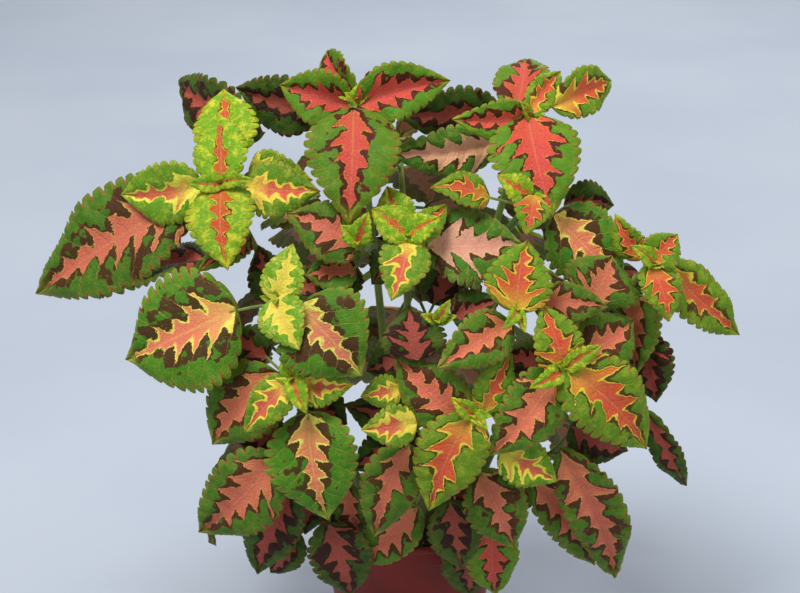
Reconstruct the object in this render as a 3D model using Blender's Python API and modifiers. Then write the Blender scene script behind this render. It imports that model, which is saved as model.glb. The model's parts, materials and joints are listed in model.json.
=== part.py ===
"""A bushy coleus in an 11.5 cm nursery pot.

Square leafy stems stand in plain holes in the soil. Each stem is one body with its side shoots, its leaf
stalks and its opposite leaves. The origin is the middle of the pot's underside, +Z is up and -Y is the front.
"""
import math
import random

import bmesh
import bpy
import numpy as np
from mathutils import Quaternion, Vector

MM = 0.001

# pot
RIM_RADIUS = 57.5 * MM
RIM_BAND = 13 * MM
RIM_LIP = 3.2 * MM
POT_HEIGHT = 100 * MM
BASE_RADIUS = 39 * MM
WALL = 1.8 * MM
FLOOR = 2.4 * MM
POT_SIDES = 28
DRAIN_HOLES = 5
DRAIN_RADIUS = 4.5 * MM
DRAIN_CIRCLE = 25 * MM

# soil
SOIL_TOP = 86 * MM
SOIL_RINGS = 3
SOIL_SIDES = 20
SOIL_BUMP = 1.1 * MM
HOLE_DEPTH = 22 * MM
GAP = 0.3 * MM

# stems and leaf stalks
FOOT_RADIUS = 3.1 * MM
SHOOT_RADIUS = 1.9 * MM
STALK_RADIUS = 1.15 * MM
STALK_END = 0.75 * MM
THIN_STALK = 0.5 * MM
STALK_GROWTH = 0.011
STEM_POINTS = 6
STRAIGHT_STALK = 20 * MM
BUD_LEAF = 20 * MM
SEATED_REACH = 8 * MM
SEATED_DEPTH = 1.5 * MM

# leaves
BLADE = 0.8 * MM
NOTCH = 0.86
TOOTH_LEAN = 0.62
TOOTH_REACH = 1.04
TOOTH_SIZES = (30, 68, 100)
LONG_LEAF = 68 * MM
MIDRIB_STEPS = (0, 0.30, 0.64, 1)
SHORT_MIDRIB_STEPS = (0, 0.46, 1)
ROUND_BASE = 0.50
FULL_MIDDLE = 1.5
POINTED_TIP = 1.10

# how leaves hang: bow, sway and droop as shares of the length, twist in degrees, and how blades face
LEAST_ARCH = 0.05
MOST_ARCH = 0.12
MOST_TWIST = 9
MOST_SWAY = 0.05
TIP_DROOP = 0.05
FACE_NEAR = 0.75
FACE_OUT = 0.35
FACE_SKY = 0.12

# how blades are kept from crossing
SAMPLE_STEPS = (0.1, 0.22, 0.35, 0.5, 0.65, 0.8, 0.92, 1.0)
ROUNDS = 60
CLOSE = 7 * MM
CLEAR = 4.5 * MM
STEM_CLEAR = 7 * MM
BASE_REACH = 9 * MM
TIP_REACH = 26 * MM

# how the plant is seen from the front: the places of its leaves below are given in this view
VIEW_TILT = math.radians(20)
VIEW_DISTANCE = 1.30
VIEW_AIM_RIGHT = -6 * MM
VIEW_AIM_UP = 126 * MM
RIGHT = Vector((1, 0, 0))
UP = Vector((0, math.sin(VIEW_TILT), math.cos(VIEW_TILT)))
NEAR = Vector((0, -math.cos(VIEW_TILT), math.sin(VIEW_TILT)))
SKY = Vector((0, 0, 1))
RIM_CENTRE = Vector((0, 0, POT_HEIGHT))

# the crown of leaves is a dome: its middle and half sizes in the front view, in millimetres
DOME_MIDDLE = (-10, 108, 36)
DOME_SIZE = (230, 186, 112)
LAYER = 12
FOOT_TUCK = 4
SHOOT_TUCK = 6

SEED = 207

# ages of leaf
YOUNG, GOLD, AMBER, CORAL, ROSE, SALMON, MATURE, PALE, DUSK = range(9)

# Where each stem stands in the soil (right, back) in millimetres.
FEET = {
    "left_stem": (-30, -6), "top_stem": (-8, 6), "right_crown_stem": (12, 8), "centre_stem": (-3, -14),
    "lower_left_stem": (-22, -24), "front_stem": (4, -33), "right_stem": (17, -12),
    "far_right_stem": (33, -2), "lower_right_stem": (24, -24),
    "back_stem": (0, 27),
}

# Each stem's shoots, as seen from the front, in millimetres: a shoot's name, the right and up of its growing
# tip, how far it lies inside the dome (0 on it, 1 at its middle), and its leaves. A leaf is its base's right
# and up, its tip's right and up, its width, its layer under the dome, the turn of its blade about its length
# and the upward fold of its halves in degrees, and its age.
SHOOTS = {
    "left_stem": [
        ("crown", -113, 194, 0.0, [
            (-113, 198, -116, 237, 32, 0, 0, 4, YOUNG),
            (-109, 207, -111, 250, 38, 1, 0, 4, YOUNG),
            (-113, 190, -110, 143, 41, 0, 0, 0, YOUNG),
            (-116, 194, -133, 194, 11, -0.4, -15, 14, YOUNG),
            (-110, 195, -95, 196, 10, -0.4, 15, 14, YOUNG),
            (-124, 194, -173, 187, 38, 1, -30, 12, AMBER),
            (-100, 192, -55, 190, 34, 1, 12, 4, AMBER),
            (-96, 203, -59, 196, 29, 2, 25, 8, AMBER),
            (-89, 225, -141, 256, 38, 3, -42, 8, DUSK),
            (-132, 184, -223, 125, 64, 2, 0, 4, SALMON),
            (-123, 149, -192, 131, 44, 3, 48, 8, DUSK),
            (-108, 147, -127, 142, 20, 2, 0, 4, ROSE),
        ]),
        ("pair", -80, 124, 0.0, [
            (-79, 127, -71, 158, 26, 0, 0, 8, GOLD),
            (-81, 121, -65, 93, 29, 0, 0, 8, GOLD),
            (-103, 119, -171, 88, 73, 1, 0, 2, MATURE),
            (-68, 121, -29, 79, 59, 0.4, 0, 2, MATURE),
            (-82, 130, -92, 157, 26, 3, 0, 4, DUSK),
            (-71, 130, -40, 139, 25, 3, 10, 4, DUSK),
        ]),
    ],
    "top_stem": [
        ("crown", -32, 242, 0.0, [
            (-29, 241, 24, 256, 37, 0, 30, 24, ROSE),
            (-34, 241, -76, 254, 36, 1, -30, 24, ROSE),
            (-32, 244, -51, 274, 32, 1, -50, 20, ROSE),
            (-34, 237, -36, 172, 55, 0, 0, 2, ROSE),
            (-53, 237, -107, 251, 36, 2, -40, 8, DUSK),
            (-32, 244, -29, 254, 8, -0.4, 0, 14, YOUNG),
            (-35, 242, -39, 248, 7, -0.4, 0, 14, YOUNG),
        ]),
        ("low_rosette", -31, 159, 0.0, [
            (-32, 160, -42, 167, 12, 0, 0, 14, YOUNG),
            (-28, 161, -25, 176, 14, 0, 0, 14, YOUNG),
            (-32, 154, -73, 176, 37, 1, 0, 4, SALMON),
            (-32, 141, -63, 139, 29, 2, 20, 6, SALMON),
            (-35, 149, -53, 117, 28, 3, -10, 4, DUSK),
        ]),
    ],
    "right_crown_stem": [
        ("crown", 71, 234, 0.0, [
            (72, 232, 88, 179, 55, 0, 0, 2, ROSE),
            (65, 238, 27, 233, 26, 0, -30, 18, ROSE),
            (65, 242, 70, 274, 34, 1, -20, 16, ROSE),
            (72, 237, 95, 257, 18, 0, 10, 18, CORAL),
            (79, 237, 118, 254, 29, 0.6, 30, 16, CORAL),
            (54, 237, -9, 234, 34, 2, -42, 10, DUSK),
            (54, 220, -15, 212, 31, 3, -35, 8, PALE),
            (71, 233, 66, 242, 7, -0.4, 0, 14, YOUNG),
        ]),
        ("low_shoot", 71, 186, 0.0, [
            (70, 188, 53, 199, 18, 0, 0, 10, YOUNG),
            (72, 184, 68, 161, 22, 0, 0, 10, CORAL),
            (47, 184, 11, 190, 23, 1, 10, 4, CORAL),
        ]),
    ],
    "centre_stem": [
        ("rosette", -1, 162, 0.0, [
            (-3, 164, -23, 180, 23, 0, 0, 10, YOUNG),
            (-3, 167, -13, 193, 23, 1, 0, 10, YOUNG),
            (1, 161, 18, 173, 17, 0, 0, 10, YOUNG),
            (5, 175, 23, 182, 18, 1, 10, 10, CORAL),
            (-1, 157, -11, 124, 30, 0, 0, 4, AMBER),
            (10, 157, 68, 160, 47, 1, 0, 2, PALE),
            (-7, 153, -24, 133, 25, 3, 0, 4, DUSK),
        ]),
        ("inner_shoot", 16, 112, 0.0, [
            (18, 115, 24, 124, 8, 0, 0, 14, YOUNG),
            (4, 89, -1, 122, 38, 1, 0, 6, DUSK),
            (25, 113, 54, 124, 26, 2, 0, 6, DUSK),
            (-3, 93, -26, 81, 28, 2, 0, 6, DUSK),
            (14, 121, 24, 149, 26, 3, 0, 4, DUSK),
        ]),
    ],
    "lower_left_stem": [
        ("rosette", -70, 77, 0.0, [
            (-71, 79, -74, 92, 12, 0, 0, 12, YOUNG),
            (-68, 74, -62, 56, 14, 0, 0, 12, YOUNG),
            (-66, 78, -34, 73, 24, 1, 5, 10, AMBER),
            (-74, 75, -100, 44, 25, 0, 0, 8, AMBER),
            (-61, 57, -49, -8, 54, 1, 0, 2, MATURE),
            (-79, 81, -119, 37, 48, 2, 0, 4, SALMON),
            (-85, 89, -110, 105, 28, 3, 0, 6, DUSK),
            (-64, 68, -38, 49, 32, 3, 0, 4, DUSK),
        ]),
        ("older_leaves", -66, 40, 0.9, [
            (-79, 30, -128, -16, 46, 1, 0, 4, SALMON),
            (-71, 13, -92, -41, 35, 2, 0, 4, DUSK),
            (-49, -9, -35, -52, 37, 2, 0, 2, DUSK),
            (-66, -14, -84, -40, 22, 3, 0, 6, DUSK),
            (-39, 13, -29, -19, 20, 3, 0, 8, SALMON),
            (-73, 43, -106, 40, 28, 3.5, 0, 4, DUSK),
            (-58, 14, -64, -19, 23, 3.2, 0, 4, DUSK),
        ]),
    ],
    "front_stem": [
        ("rosette", 37, 55, 0.0, [
            (34, 58, 25, 65, 11, 0, 0, 12, YOUNG),
            (41, 53, 47, 46, 7, 0, 0, 12, YOUNG),
            (35, 50, 11, -3, 42, 0, 0, 4, CORAL),
            (31, 53, -9, 89, 37, 1, 0, 4, SALMON),
            (43, 56, 62, 91, 25, 1, 10, 8, CORAL),
            (41, 22, 62, -22, 37, 2, 0, 4, SALMON),
            (54, 34, 88, 16, 29, 1, 10, 8, AMBER),
            (24, 4, 31, -36, 32, 2, 0, 6, DUSK),
            (31, 59, 6, 74, 28, 3, 0, 4, DUSK),
        ]),
        ("side_pair", 1, 47, 0.3, [
            (-1, 38, -22, -19, 35, 1, 0, 4, SALMON),
            (4, 50, -29, 46, 25, 0, 0, 6, AMBER),
            (-4, 70, -29, 65, 20, 1, 0, 6, AMBER),
            (5, -1, -35, -38, 30, 2, 0, 4, SALMON),
            (-5, 50, -40, 62, 28, 3, 0, 4, DUSK),
            (-4, 43, -36, 22, 28, 3, 0, 4, DUSK),
        ]),
    ],
    "right_stem": [
        ("rosette", 64, 118, 0.0, [
            (62, 119, 71, 160, 40, 0, 0, 4, CORAL),
            (75, 121, 119, 119, 25, 1, 0, 8, SALMON),
            (62, 114, 56, 106, 8, -0.3, 0, 14, YOUNG),
            (66, 112, 70, 106, 7, -0.3, 0, 14, YOUNG),
            (61, 104, 14, 83, 32, 1, 0, 4, SALMON),
        ]),
        ("front_rosette", 93, 83, 0.0, [
            (89, 89, 77, 122, 30, 1, 0, 6, CORAL),
            (95, 86, 115, 97, 12, 0, 0, 12, YOUNG),
            (90, 80, 72, 71, 12, 0, 0, 12, YOUNG),
            (98, 79, 143, 34, 47, 0, 0, 3, CORAL),
            (82, 76, 45, 31, 38, 1, 0, 4, SALMON),
            (103, 91, 136, 113, 37, 1.4, 0, 4, SALMON),
            (83, 85, 55, 93, 28, 3, 0, 4, DUSK),
        ]),
    ],
    "far_right_stem": [
        ("crown", 145, 146, 0.0, [
            (145, 149, 160, 163, 24, 0, 0, 8, CORAL),
            (145, 143, 157, 112, 26, 0, 0, 8, CORAL),
            (152, 145, 199, 103, 32, 1, 0, 8, CORAL),
            (141, 149, 123, 175, 20, 1, -45, 14, CORAL),
            (141, 143, 132, 156, 11, 0, 0, 12, YOUNG),
            (136, 127, 136, 79, 37, 3, 35, 14, SALMON),
            (138, 106, 147, 62, 34, 3, 40, 8, DUSK),
            (136, 141, 114, 124, 26, 4, 0, 4, DUSK),
        ]),
        ("inner_leaves", 114, 133, 0.5, [
            (109, 124, 122, 151, 48, 1, 0, 4, SALMON),
            (86, 175, 130, 135, 49, 2, 0, 3, MATURE),
            (92, 182, 122, 181, 28, 3, 30, 6, DUSK),
            (106, 143, 80, 167, 28, 4, 0, 4, DUSK),
        ]),
    ],
    "lower_right_stem": [
        ("rosette", 83, 31, 0.5, [
            (74, 16, 112, -37, 30, 2, 0, 4, SALMON),
            (90, 34, 124, -46, 35, 1, 10, 10, SALMON),
            (96, 49, 131, 33, 31, 2, 20, 6, DUSK),
            (142, 57, 166, 11, 18, 1, 35, 14, DUSK),
            (50, -10, 52, -55, 31, 2, 0, 4, ROSE),
            (57, 17, 82, 4, 28, 3, 0, 6, DUSK),
            (33, -17, 36, -56, 32, 3, 0, 6, DUSK),
        ]),
    ],
}

# The stem that the front view hides: its shoots, by compass direction of their tips (0 at the right, 90 at
# the back), height of the tip above the soil and reach from the middle, in degrees and millimetres.
BACK_SHOOTS = {
    "back_stem": [("upper", 96, 226, 62), ("upper_left", 140, 190, 98), ("upper_right", 40, 186, 100),
                  ("lower_left", 150, 98, 124), ("lower_back", 88, 118, 116), ("lower_right", 36, 96, 126)],
}
BACK_PAIRS = ((0, 40, 0), (20, 66, 1), (46, 84, 2))


def seen(right, up, near):
    """The place seen at this right and up from the rim's middle, and so much nearer, in millimetres."""
    shrink = 1 - near * MM / VIEW_DISTANCE
    side = VIEW_AIM_RIGHT + (right * MM - VIEW_AIM_RIGHT) * shrink
    rise = VIEW_AIM_UP + (up * MM - VIEW_AIM_UP) * shrink
    return RIM_CENTRE + RIGHT * side + UP * rise + NEAR * near * MM


def dome_near(right, up):
    """How near the dome of leaves comes at this place of the front view, in millimetres."""
    across = (right - DOME_MIDDLE[0]) / DOME_SIZE[0]
    above = (up - DOME_MIDDLE[1]) / DOME_SIZE[1]
    return DOME_MIDDLE[2] + DOME_SIZE[2] * math.sqrt(max(0.03, 1 - across ** 2 - above ** 2))


def bezier(start, pull, push, end, count):
    """Points along a cubic curve."""
    points = []
    for step in range(count):
        t = step / (count - 1)
        points.append(start * (1 - t) ** 3 + pull * 3 * t * (1 - t) ** 2 + push * 3 * t ** 2 * (1 - t)
                      + end * t ** 3)
    return points


def outline(u):
    """How wide a blade is at u along its midrib, before it is scaled: round at the foot, pointed at the tip."""
    return u ** ROUND_BASE * (1 - u ** FULL_MIDDLE) ** POINTED_TIP


WIDEST = max(outline(step / 100) for step in range(101))


def limited(move, most):
    return move if move.length <= most else move.normalized() * most


class Leaf:
    """A leaf: its blade runs from base to tip, and faces as asked, turned about its length."""

    def __init__(self, base, tip, facing, width, fold, age, draw):
        self.base, self.tip, self.facing, self.width = base, tip, facing, width
        self.fold, self.age = math.radians(fold), age
        self.arch = draw.uniform(LEAST_ARCH, MOST_ARCH)
        self.twist = math.radians(draw.uniform(-MOST_TWIST, MOST_TWIST))
        self.curl = draw.uniform(-MOST_SWAY, MOST_SWAY)
        self.seated = False
        self.first_base, self.first_tip = base.copy(), tip.copy()
        self.set_frame()

    def set_frame(self):
        run = self.tip - self.base
        self.length = run.length
        self.along = run.normalized()
        self.normal = (self.facing - self.along * self.facing.dot(self.along)).normalized()
        self.across = self.along.cross(self.normal)

    def shift(self, base_push, tip_push):
        """Move the blade's base and tip, at its own length and within its stalk's reach."""
        reach = self.length
        self.base += base_push
        self.base = self.first_base + limited(self.base - self.first_base, BASE_REACH)
        self.tip = self.first_tip + limited(self.tip + tip_push - self.first_tip, TIP_REACH)
        self.tip = self.base + (self.tip - self.base).normalized() * reach
        self.set_frame()

    def half_width(self, u):
        return self.width / 2 * outline(u) / WIDEST

    def point(self, u, x):
        """The place at u along the midrib and x across it."""
        turn = self.twist * (u - 0.3)
        across = self.across * math.cos(turn) + self.normal * math.sin(turn)
        normal = self.normal * math.cos(turn) - self.across * math.sin(turn)
        bow = (4 * u * (1 - u) * self.arch - TIP_DROOP * u ** 4) * self.length
        sway = math.sin(math.pi * u) * self.curl * self.length
        return (self.base + self.along * u * self.length + self.normal * bow + self.across * sway
                + across * x * math.cos(self.fold) + normal * abs(x) * math.sin(self.fold))


def front_leaf(row, draw):
    base_right, base_up, tip_right, tip_up, width, layer, turn, fold, age = row
    base_near = dome_near(base_right, base_up) - layer * LAYER - FOOT_TUCK
    tip_near = dome_near(tip_right, tip_up) - layer * LAYER
    base = seen(base_right, base_up, base_near)
    tip = seen(tip_right, tip_up, tip_near)
    middle_right = (base_right + tip_right) / 2 - DOME_MIDDLE[0]
    middle_up = (base_up + tip_up) / 2 - DOME_MIDDLE[1]
    outward = RIGHT * (middle_right / DOME_SIZE[0]) + UP * (middle_up / DOME_SIZE[1]) + NEAR * 0.6
    facing = (NEAR * FACE_NEAR + outward.normalized() * FACE_OUT + SKY * FACE_SKY).normalized()
    facing.rotate(Quaternion((tip - base).normalized(), math.radians(turn)))
    shrink = 1 - (base_near + tip_near) / 2 * MM / VIEW_DISTANCE
    return Leaf(base, tip, facing, width * shrink * MM, fold, age, draw)


def shoot_path(start, heading, tip, tip_heading):
    reach = (tip - start).length
    return bezier(start, start + heading * reach * 0.4, tip - tip_heading * reach * 0.35, tip, STEM_POINTS)


def back_leaves(tip, tip_heading, draw):
    """Opposite pairs round a shoot, each pair turned a quarter from the one above it."""
    leaves = []
    level = tip_heading.cross(SKY).normalized()
    spin = draw.uniform(0, math.pi)
    for number, (down, length, droop) in enumerate(BACK_PAIRS):
        for half in range(2):
            angle = spin + number * math.pi / 2 + half * math.pi
            side = Quaternion(tip_heading, angle) @ level
            size = length * draw.uniform(0.85, 1.12) * MM
            start = tip - tip_heading * down * MM
            base = start + side * (3 + number * 5) * MM
            lean = (side + tip_heading * (0.45 - 0.35 * number) - SKY * 0.22 * droop).normalized()
            age = (CORAL, ROSE, SALMON, DUSK)[min(3, number + draw.randrange(2))]
            leaf = Leaf(base, base + lean * size, tip_heading, size * draw.uniform(0.6, 0.7), 6, age, draw)
            leaves.append(leaf)
    return leaves


def plant():
    """Every stem's name with its stem paths and its leaves, as (leaf, place where its stalk starts)."""
    stems = {}
    for number, (name, foot) in enumerate(FEET.items()):
        draw = random.Random(SEED + number)
        ground = Vector((foot[0] * MM, foot[1] * MM, SOIL_TOP))
        shoots = []
        for shoot in SHOOTS.get(name, []):
            _, right, up, depth, rows = shoot
            near = dome_near(right, up) * (1 - depth) + DOME_MIDDLE[2] * depth - SHOOT_TUCK
            tip = seen(right, up, near)
            heading = (tip - Vector((0, 0, SOIL_TOP + 60 * MM))).normalized()
            heading = (heading + SKY * 0.35 + NEAR * 0.25).normalized()
            shoots.append((tip, heading, [front_leaf(row, draw) for row in rows]))
        for shoot in BACK_SHOOTS.get(name, []):
            _, compass, height, reach = shoot
            angle = math.radians(compass)
            out = Vector((math.cos(angle), math.sin(angle), 0))
            tip = out * reach * MM + SKY * (SOIL_TOP + height * MM)
            heading = (out * 0.8 + SKY * (0.25 + height / 260)).normalized()
            shoots.append((tip, heading, back_leaves(tip, heading, draw)))
        paths, leaves = [], []
        for order, (tip, heading, grown) in enumerate(shoots):
            if order == 0:
                rise = (SKY + Vector((ground.x, ground.y, 0)) * 6).normalized()
                path = shoot_path(ground, rise, tip, heading)
                path.insert(0, ground - SKY * (HOLE_DEPTH - GAP))
            else:
                trunk = paths[0]
                gaps = [(point - tip).length - 0.6 * (point - ground).length for point in trunk[2:5]]
                fork = 2 + gaps.index(min(gaps))
                rise = (trunk[fork + 1] - trunk[fork]).normalized()
                path = shoot_path(trunk[fork], rise, tip, heading)
            paths.append(path)
            leaves += [(leaf, path) for leaf in grown]
        stems[name] = (paths, leaves)
    bend_clear(stems)
    seat_leaves(stems)
    return stems


def nearest_on(path, place):
    """The point of a path nearest to a place, between its path's points, and short of its tip."""
    best = None
    for first, second in zip(path[2:-1], path[3:]):
        run = second - first
        t = min(1, max(0, (place - first).dot(run) / run.length_squared))
        point = first + run * t
        gap = (point - place).length
        if best is None or gap < best[0]:
            best = (gap, point)
    return best[1]


def seat_leaves(stems):
    """Buds, and leaves whose foot is almost on their stem, start inside it without a stalk."""
    for _, grown in stems.values():
        for leaf, path in grown:
            start = nearest_on(path, leaf.base)
            if leaf.length < BUD_LEAF or (leaf.base - start).length < SEATED_REACH:
                leaf.seated = True
                leaf.base = start - leaf.along * SEATED_DEPTH
                leaf.set_frame()


def stalk_path(leaf, path):
    """A stalk from inside the stem to under the blade's foot."""
    start = nearest_on(path, leaf.base - leaf.along * leaf.length * 0.08)
    under = leaf.point(0.07, 0)
    reach = (leaf.base - start).length
    if reach < STRAIGHT_STALK:
        return [start, under]
    return [start, (start + leaf.base) / 2 + leaf.normal * 0.12 * reach, under]


def stalk_radius(leaf):
    """A stalk's radius where it leaves the stem."""
    return min(STALK_RADIUS, THIN_STALK + leaf.length * STALK_GROWTH)


def samples(leaf):
    """Places spread over a blade, and how far along it each lies."""
    places, steps = [], []
    for u in SAMPLE_STEPS:
        wide = leaf.half_width(min(u, 0.97))
        for part in (-0.85, 0, 0.85):
            places.append(leaf.point(u, part * wide))
            steps.append(u)
    return np.array(places), np.array(steps)


def along_stems(paths):
    """Places every few millimetres along some stems."""
    places = [first.lerp(second, step / 5) for path in paths for first, second in zip(path, path[1:])
              for step in range(5)]
    return np.array(places)


def bend_clear(stems):
    """Ease blades apart that would cross, along the way that both face, and off other plants' stems."""
    leaves = [leaf for _, grown in stems.values() for leaf, _ in grown]
    wood = {name: along_stems([path for other, (paths, _) in stems.items() if other != name
                               for path in paths]) for name in stems}
    owner = [name for name, (_, grown) in stems.items() for _ in grown]
    for _ in range(ROUNDS):
        spread = [samples(leaf) for leaf in leaves]
        middles = np.array([places.mean(axis=0) for places, _ in spread])
        reach = np.array([leaf.length for leaf in leaves]) * 0.6
        pushes = [[Vector(), Vector()] for _ in leaves]
        crossed = 0
        for first in range(len(leaves)):
            away = np.linalg.norm(middles - middles[first], axis=1)
            for second in np.nonzero(away < reach + reach[first])[0]:
                if second <= first:
                    continue
                a, b = leaves[first], leaves[second]
                way = a.normal + b.normal * (1 if a.normal.dot(b.normal) > 0 else -1)
                way = np.array(way.normalized())
                offset = spread[first][0][:, None] - spread[second][0][None, :]
                over = offset @ way
                beside = np.sqrt(np.maximum((offset ** 2).sum(axis=2) - over ** 2, 0))
                close = beside < CLOSE
                if not close.any():
                    continue
                side = 1 if over[close].sum() >= 0 else -1
                lack = np.where(close, CLEAR - side * over, 0)
                worst = np.unravel_index(lack.argmax(), lack.shape)
                if lack[worst] <= 0:
                    continue
                crossed += 1
                push = Vector(way) * float(side * min(lack[worst], CLEAR) * 0.35)
                for number, u, turn in ((first, spread[first][1][worst[0]], 1),
                                        (second, spread[second][1][worst[1]], -1)):
                    pushes[number][0] += push * turn * (1 - u) * 0.6
                    pushes[number][1] += push * turn * (0.3 + 0.7 * u)
        for number, leaf in enumerate(leaves):
            places, steps = spread[number]
            offset = places[:, None] - wood[owner[number]][None, :]
            gap = np.sqrt((offset ** 2).sum(axis=2))
            worst = np.unravel_index(gap.argmin(), gap.shape)
            if gap[worst] < STEM_CLEAR:
                crossed += 1
                side = 1 if offset[worst] @ np.array(leaf.normal) >= 0 else -1
                push = leaf.normal * float(side * (STEM_CLEAR - gap[worst])) * 0.5
                pushes[number][0] += push * (1 - float(steps[worst[0]])) * 0.6
                pushes[number][1] += push
        for leaf, (base_push, tip_push) in zip(leaves, pushes):
            leaf.shift(base_push, tip_push)
        if crossed == 0:
            break
    return crossed


def material(name, colour, roughness):
    made = bpy.data.materials.new(name)
    made.use_nodes = True
    shader = made.node_tree.nodes["Principled BSDF"]
    shader.inputs["Base Color"].default_value = (*colour, 1)
    shader.inputs["Roughness"].default_value = roughness
    shader.inputs["Metallic"].default_value = 0
    made.diffuse_color = (*colour, 1)
    return made


def mesh_object(name, mesh, collection):
    made = bpy.data.objects.new(name, mesh)
    collection.objects.link(made)
    return made


def finished_mesh(made):
    """The mesh of an object with its modifiers applied."""
    bpy.context.view_layer.update()
    return bpy.data.meshes.new_from_object(made.evaluated_get(bpy.context.evaluated_depsgraph_get()))


def tube(name, points, radii, collection):
    """A square stem or stalk along a path, tapered, as a closed mesh."""
    curve = bpy.data.curves.new(name, "CURVE")
    curve.dimensions = "3D"
    curve.bevel_depth = 1
    curve.bevel_resolution = 0
    curve.use_fill_caps = True
    spline = curve.splines.new("POLY")
    spline.points.add(len(points) - 1)
    for place, point, radius in zip(spline.points, points, radii):
        place.co = (*point, 1)
        place.radius = radius
    rod = mesh_object(name, curve, collection)
    mesh = finished_mesh(rod)
    bpy.data.objects.remove(rod)
    welded = bmesh.new()
    welded.from_mesh(mesh)
    bmesh.ops.remove_doubles(welded, verts=welded.verts, dist=0.01 * MM)
    bmesh.ops.recalc_face_normals(welded, faces=welded.faces)
    welded.to_mesh(mesh)
    welded.free()
    return mesh_object(name, mesh, collection)


def teeth_of(leaf):
    """Teeth on each side of a blade."""
    return 2 + sum(leaf.length > size * MM for size in TOOTH_SIZES)


def margin(leaf, side):
    """The toothed edge of one half of a blade, from base to tip, as (u along, x across)."""
    count = teeth_of(leaf)
    edge = [(0, 0)]
    for step in range(count):
        wide = leaf.half_width((step + 0.45) / count) * TOOTH_REACH
        edge.append(((step + TOOTH_LEAN) / count, side * wide))
        notch = (step + 1) / count
        edge.append((notch, side * NOTCH * leaf.half_width(notch)))
    return edge


def blade(name, leaf, collection):
    """A toothed blade: triangles from midrib to margin, given their thickness by Solidify."""
    surface = bmesh.new()
    steps = MIDRIB_STEPS if leaf.length > LONG_LEAF else SHORT_MIDRIB_STEPS
    midrib = [surface.verts.new(leaf.point(u, 0)) for u in steps]
    for side in (1, -1):
        edge = margin(leaf, side)
        rim = [surface.verts.new(leaf.point(u, x)) for u, x in edge[1:-1]]
        rim = [midrib[0]] + rim + [midrib[-1]]
        inner, outer = 0, 0
        while inner < len(steps) - 1 or outer < len(edge) - 1:
            along_rim = outer < len(edge) - 1 and (inner == len(steps) - 1
                                                   or edge[outer + 1][0] <= steps[inner + 1])
            if along_rim:
                face = (midrib[inner], rim[outer + 1], rim[outer])
                outer += 1
            else:
                face = (midrib[inner], midrib[inner + 1], rim[outer])
                inner += 1
            if len(set(face)) == 3:
                surface.faces.new(face if side > 0 else face[::-1])
    mesh = bpy.data.meshes.new(name)
    surface.to_mesh(mesh)
    surface.free()
    made = mesh_object(name, mesh, collection)
    shell = made.modifiers.new("thickness", "SOLIDIFY")
    shell.thickness = BLADE
    shell.offset = 0
    return made


def keep_one_body(mesh):
    """Drop the loose scraps that a join can leave beside the body."""
    work = bmesh.new()
    work.from_mesh(mesh)
    left = set(work.verts)
    bodies = []
    while left:
        body, edge = set(), [left.pop()]
        while edge:
            corner = edge.pop()
            body.add(corner)
            beside = {link.other_vert(corner) for link in corner.link_edges} & left
            left -= beside
            edge += beside
        bodies.append(body)
    bodies.sort(key=len)
    for scrap in bodies[:-1]:
        bmesh.ops.delete(work, geom=list(scrap), context="VERTS")
    work.to_mesh(mesh)
    work.free()


def leafy_stem(name, paths, leaves, skin, home):
    """One stem with its shoots, stalks and blades, joined into one body."""
    pieces = bpy.data.collections.new(name + "_pieces")
    bpy.context.scene.collection.children.link(pieces)
    for number, path in enumerate(paths):
        foot = FOOT_RADIUS if number == 0 else 0.8 * FOOT_RADIUS
        last = len(path) - 1
        radii = [foot + (SHOOT_RADIUS - foot) * step / last for step in range(last + 1)]
        target = home if number == 0 else pieces
        made = tube(name if number == 0 else f"{name}_shoot_{number}", path, radii, target)
        if number == 0:
            trunk = made
    for number, (leaf, path) in enumerate(leaves):
        blade(f"{name}_blade_{number}", leaf, pieces)
        if leaf.seated:
            continue
        stalk = stalk_path(leaf, path)
        steps = len(stalk) - 1
        thick = stalk_radius(leaf)
        radii = [thick + (STALK_END - thick) * step / steps for step in range(steps + 1)]
        tube(f"{name}_stalk_{number}", stalk, radii, pieces)
    union = trunk.modifiers.new("joined", "BOOLEAN")
    union.operation = "UNION"
    union.operand_type = "COLLECTION"
    union.collection = pieces
    union.solver = "EXACT"
    joined = finished_mesh(trunk)
    keep_one_body(joined)
    trunk.modifiers.clear()
    trunk.data = joined
    joined.materials.clear()
    joined.materials.append(skin)
    for piece in list(pieces.objects):
        bpy.data.objects.remove(piece)
    bpy.data.collections.remove(pieces)
    return trunk


def wall_radius(height):
    """The pot's outer radius below its rim band."""
    shoulder = POT_HEIGHT - RIM_BAND
    return BASE_RADIUS + (RIM_RADIUS - 4.5 * MM - BASE_RADIUS) * height / shoulder


def turned(name, profile, sides, collection):
    """A body turned about the vertical axis from (radius, height) pairs that start and end on the axis."""
    mesh = bpy.data.meshes.new(name)
    points = [(radius, 0, height) for radius, height in profile]
    mesh.from_pydata(points, [(step, step + 1) for step in range(len(points) - 1)], [])
    made = mesh_object(name, mesh, collection)
    screw = made.modifiers.new("turned", "SCREW")
    screw.axis = "Z"
    screw.steps = screw.render_steps = sides
    screw.use_merge_vertices = True
    screw.merge_threshold = 0.01 * MM
    return made


def cylinder_cutter(name, radius, low, high, place, sides, collection):
    bpy.ops.mesh.primitive_cylinder_add(vertices=sides, radius=radius, depth=high - low,
                                        location=(place[0], place[1], (low + high) / 2))
    cutter = bpy.context.object
    cutter.name = name
    for owner in list(cutter.users_collection):
        owner.objects.unlink(cutter)
    collection.objects.link(cutter)
    cutter.display_type = "WIRE"
    cutter.hide_render = True
    return cutter


def cut(body, cutters):
    holes = body.modifiers.new("holes", "BOOLEAN")
    holes.operation = "DIFFERENCE"
    holes.operand_type = "COLLECTION"
    holes.collection = cutters
    holes.solver = "EXACT"


def cutter_collection(name):
    made = bpy.data.collections.new(name)
    bpy.context.scene.collection.children.link(made)
    return made


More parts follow.
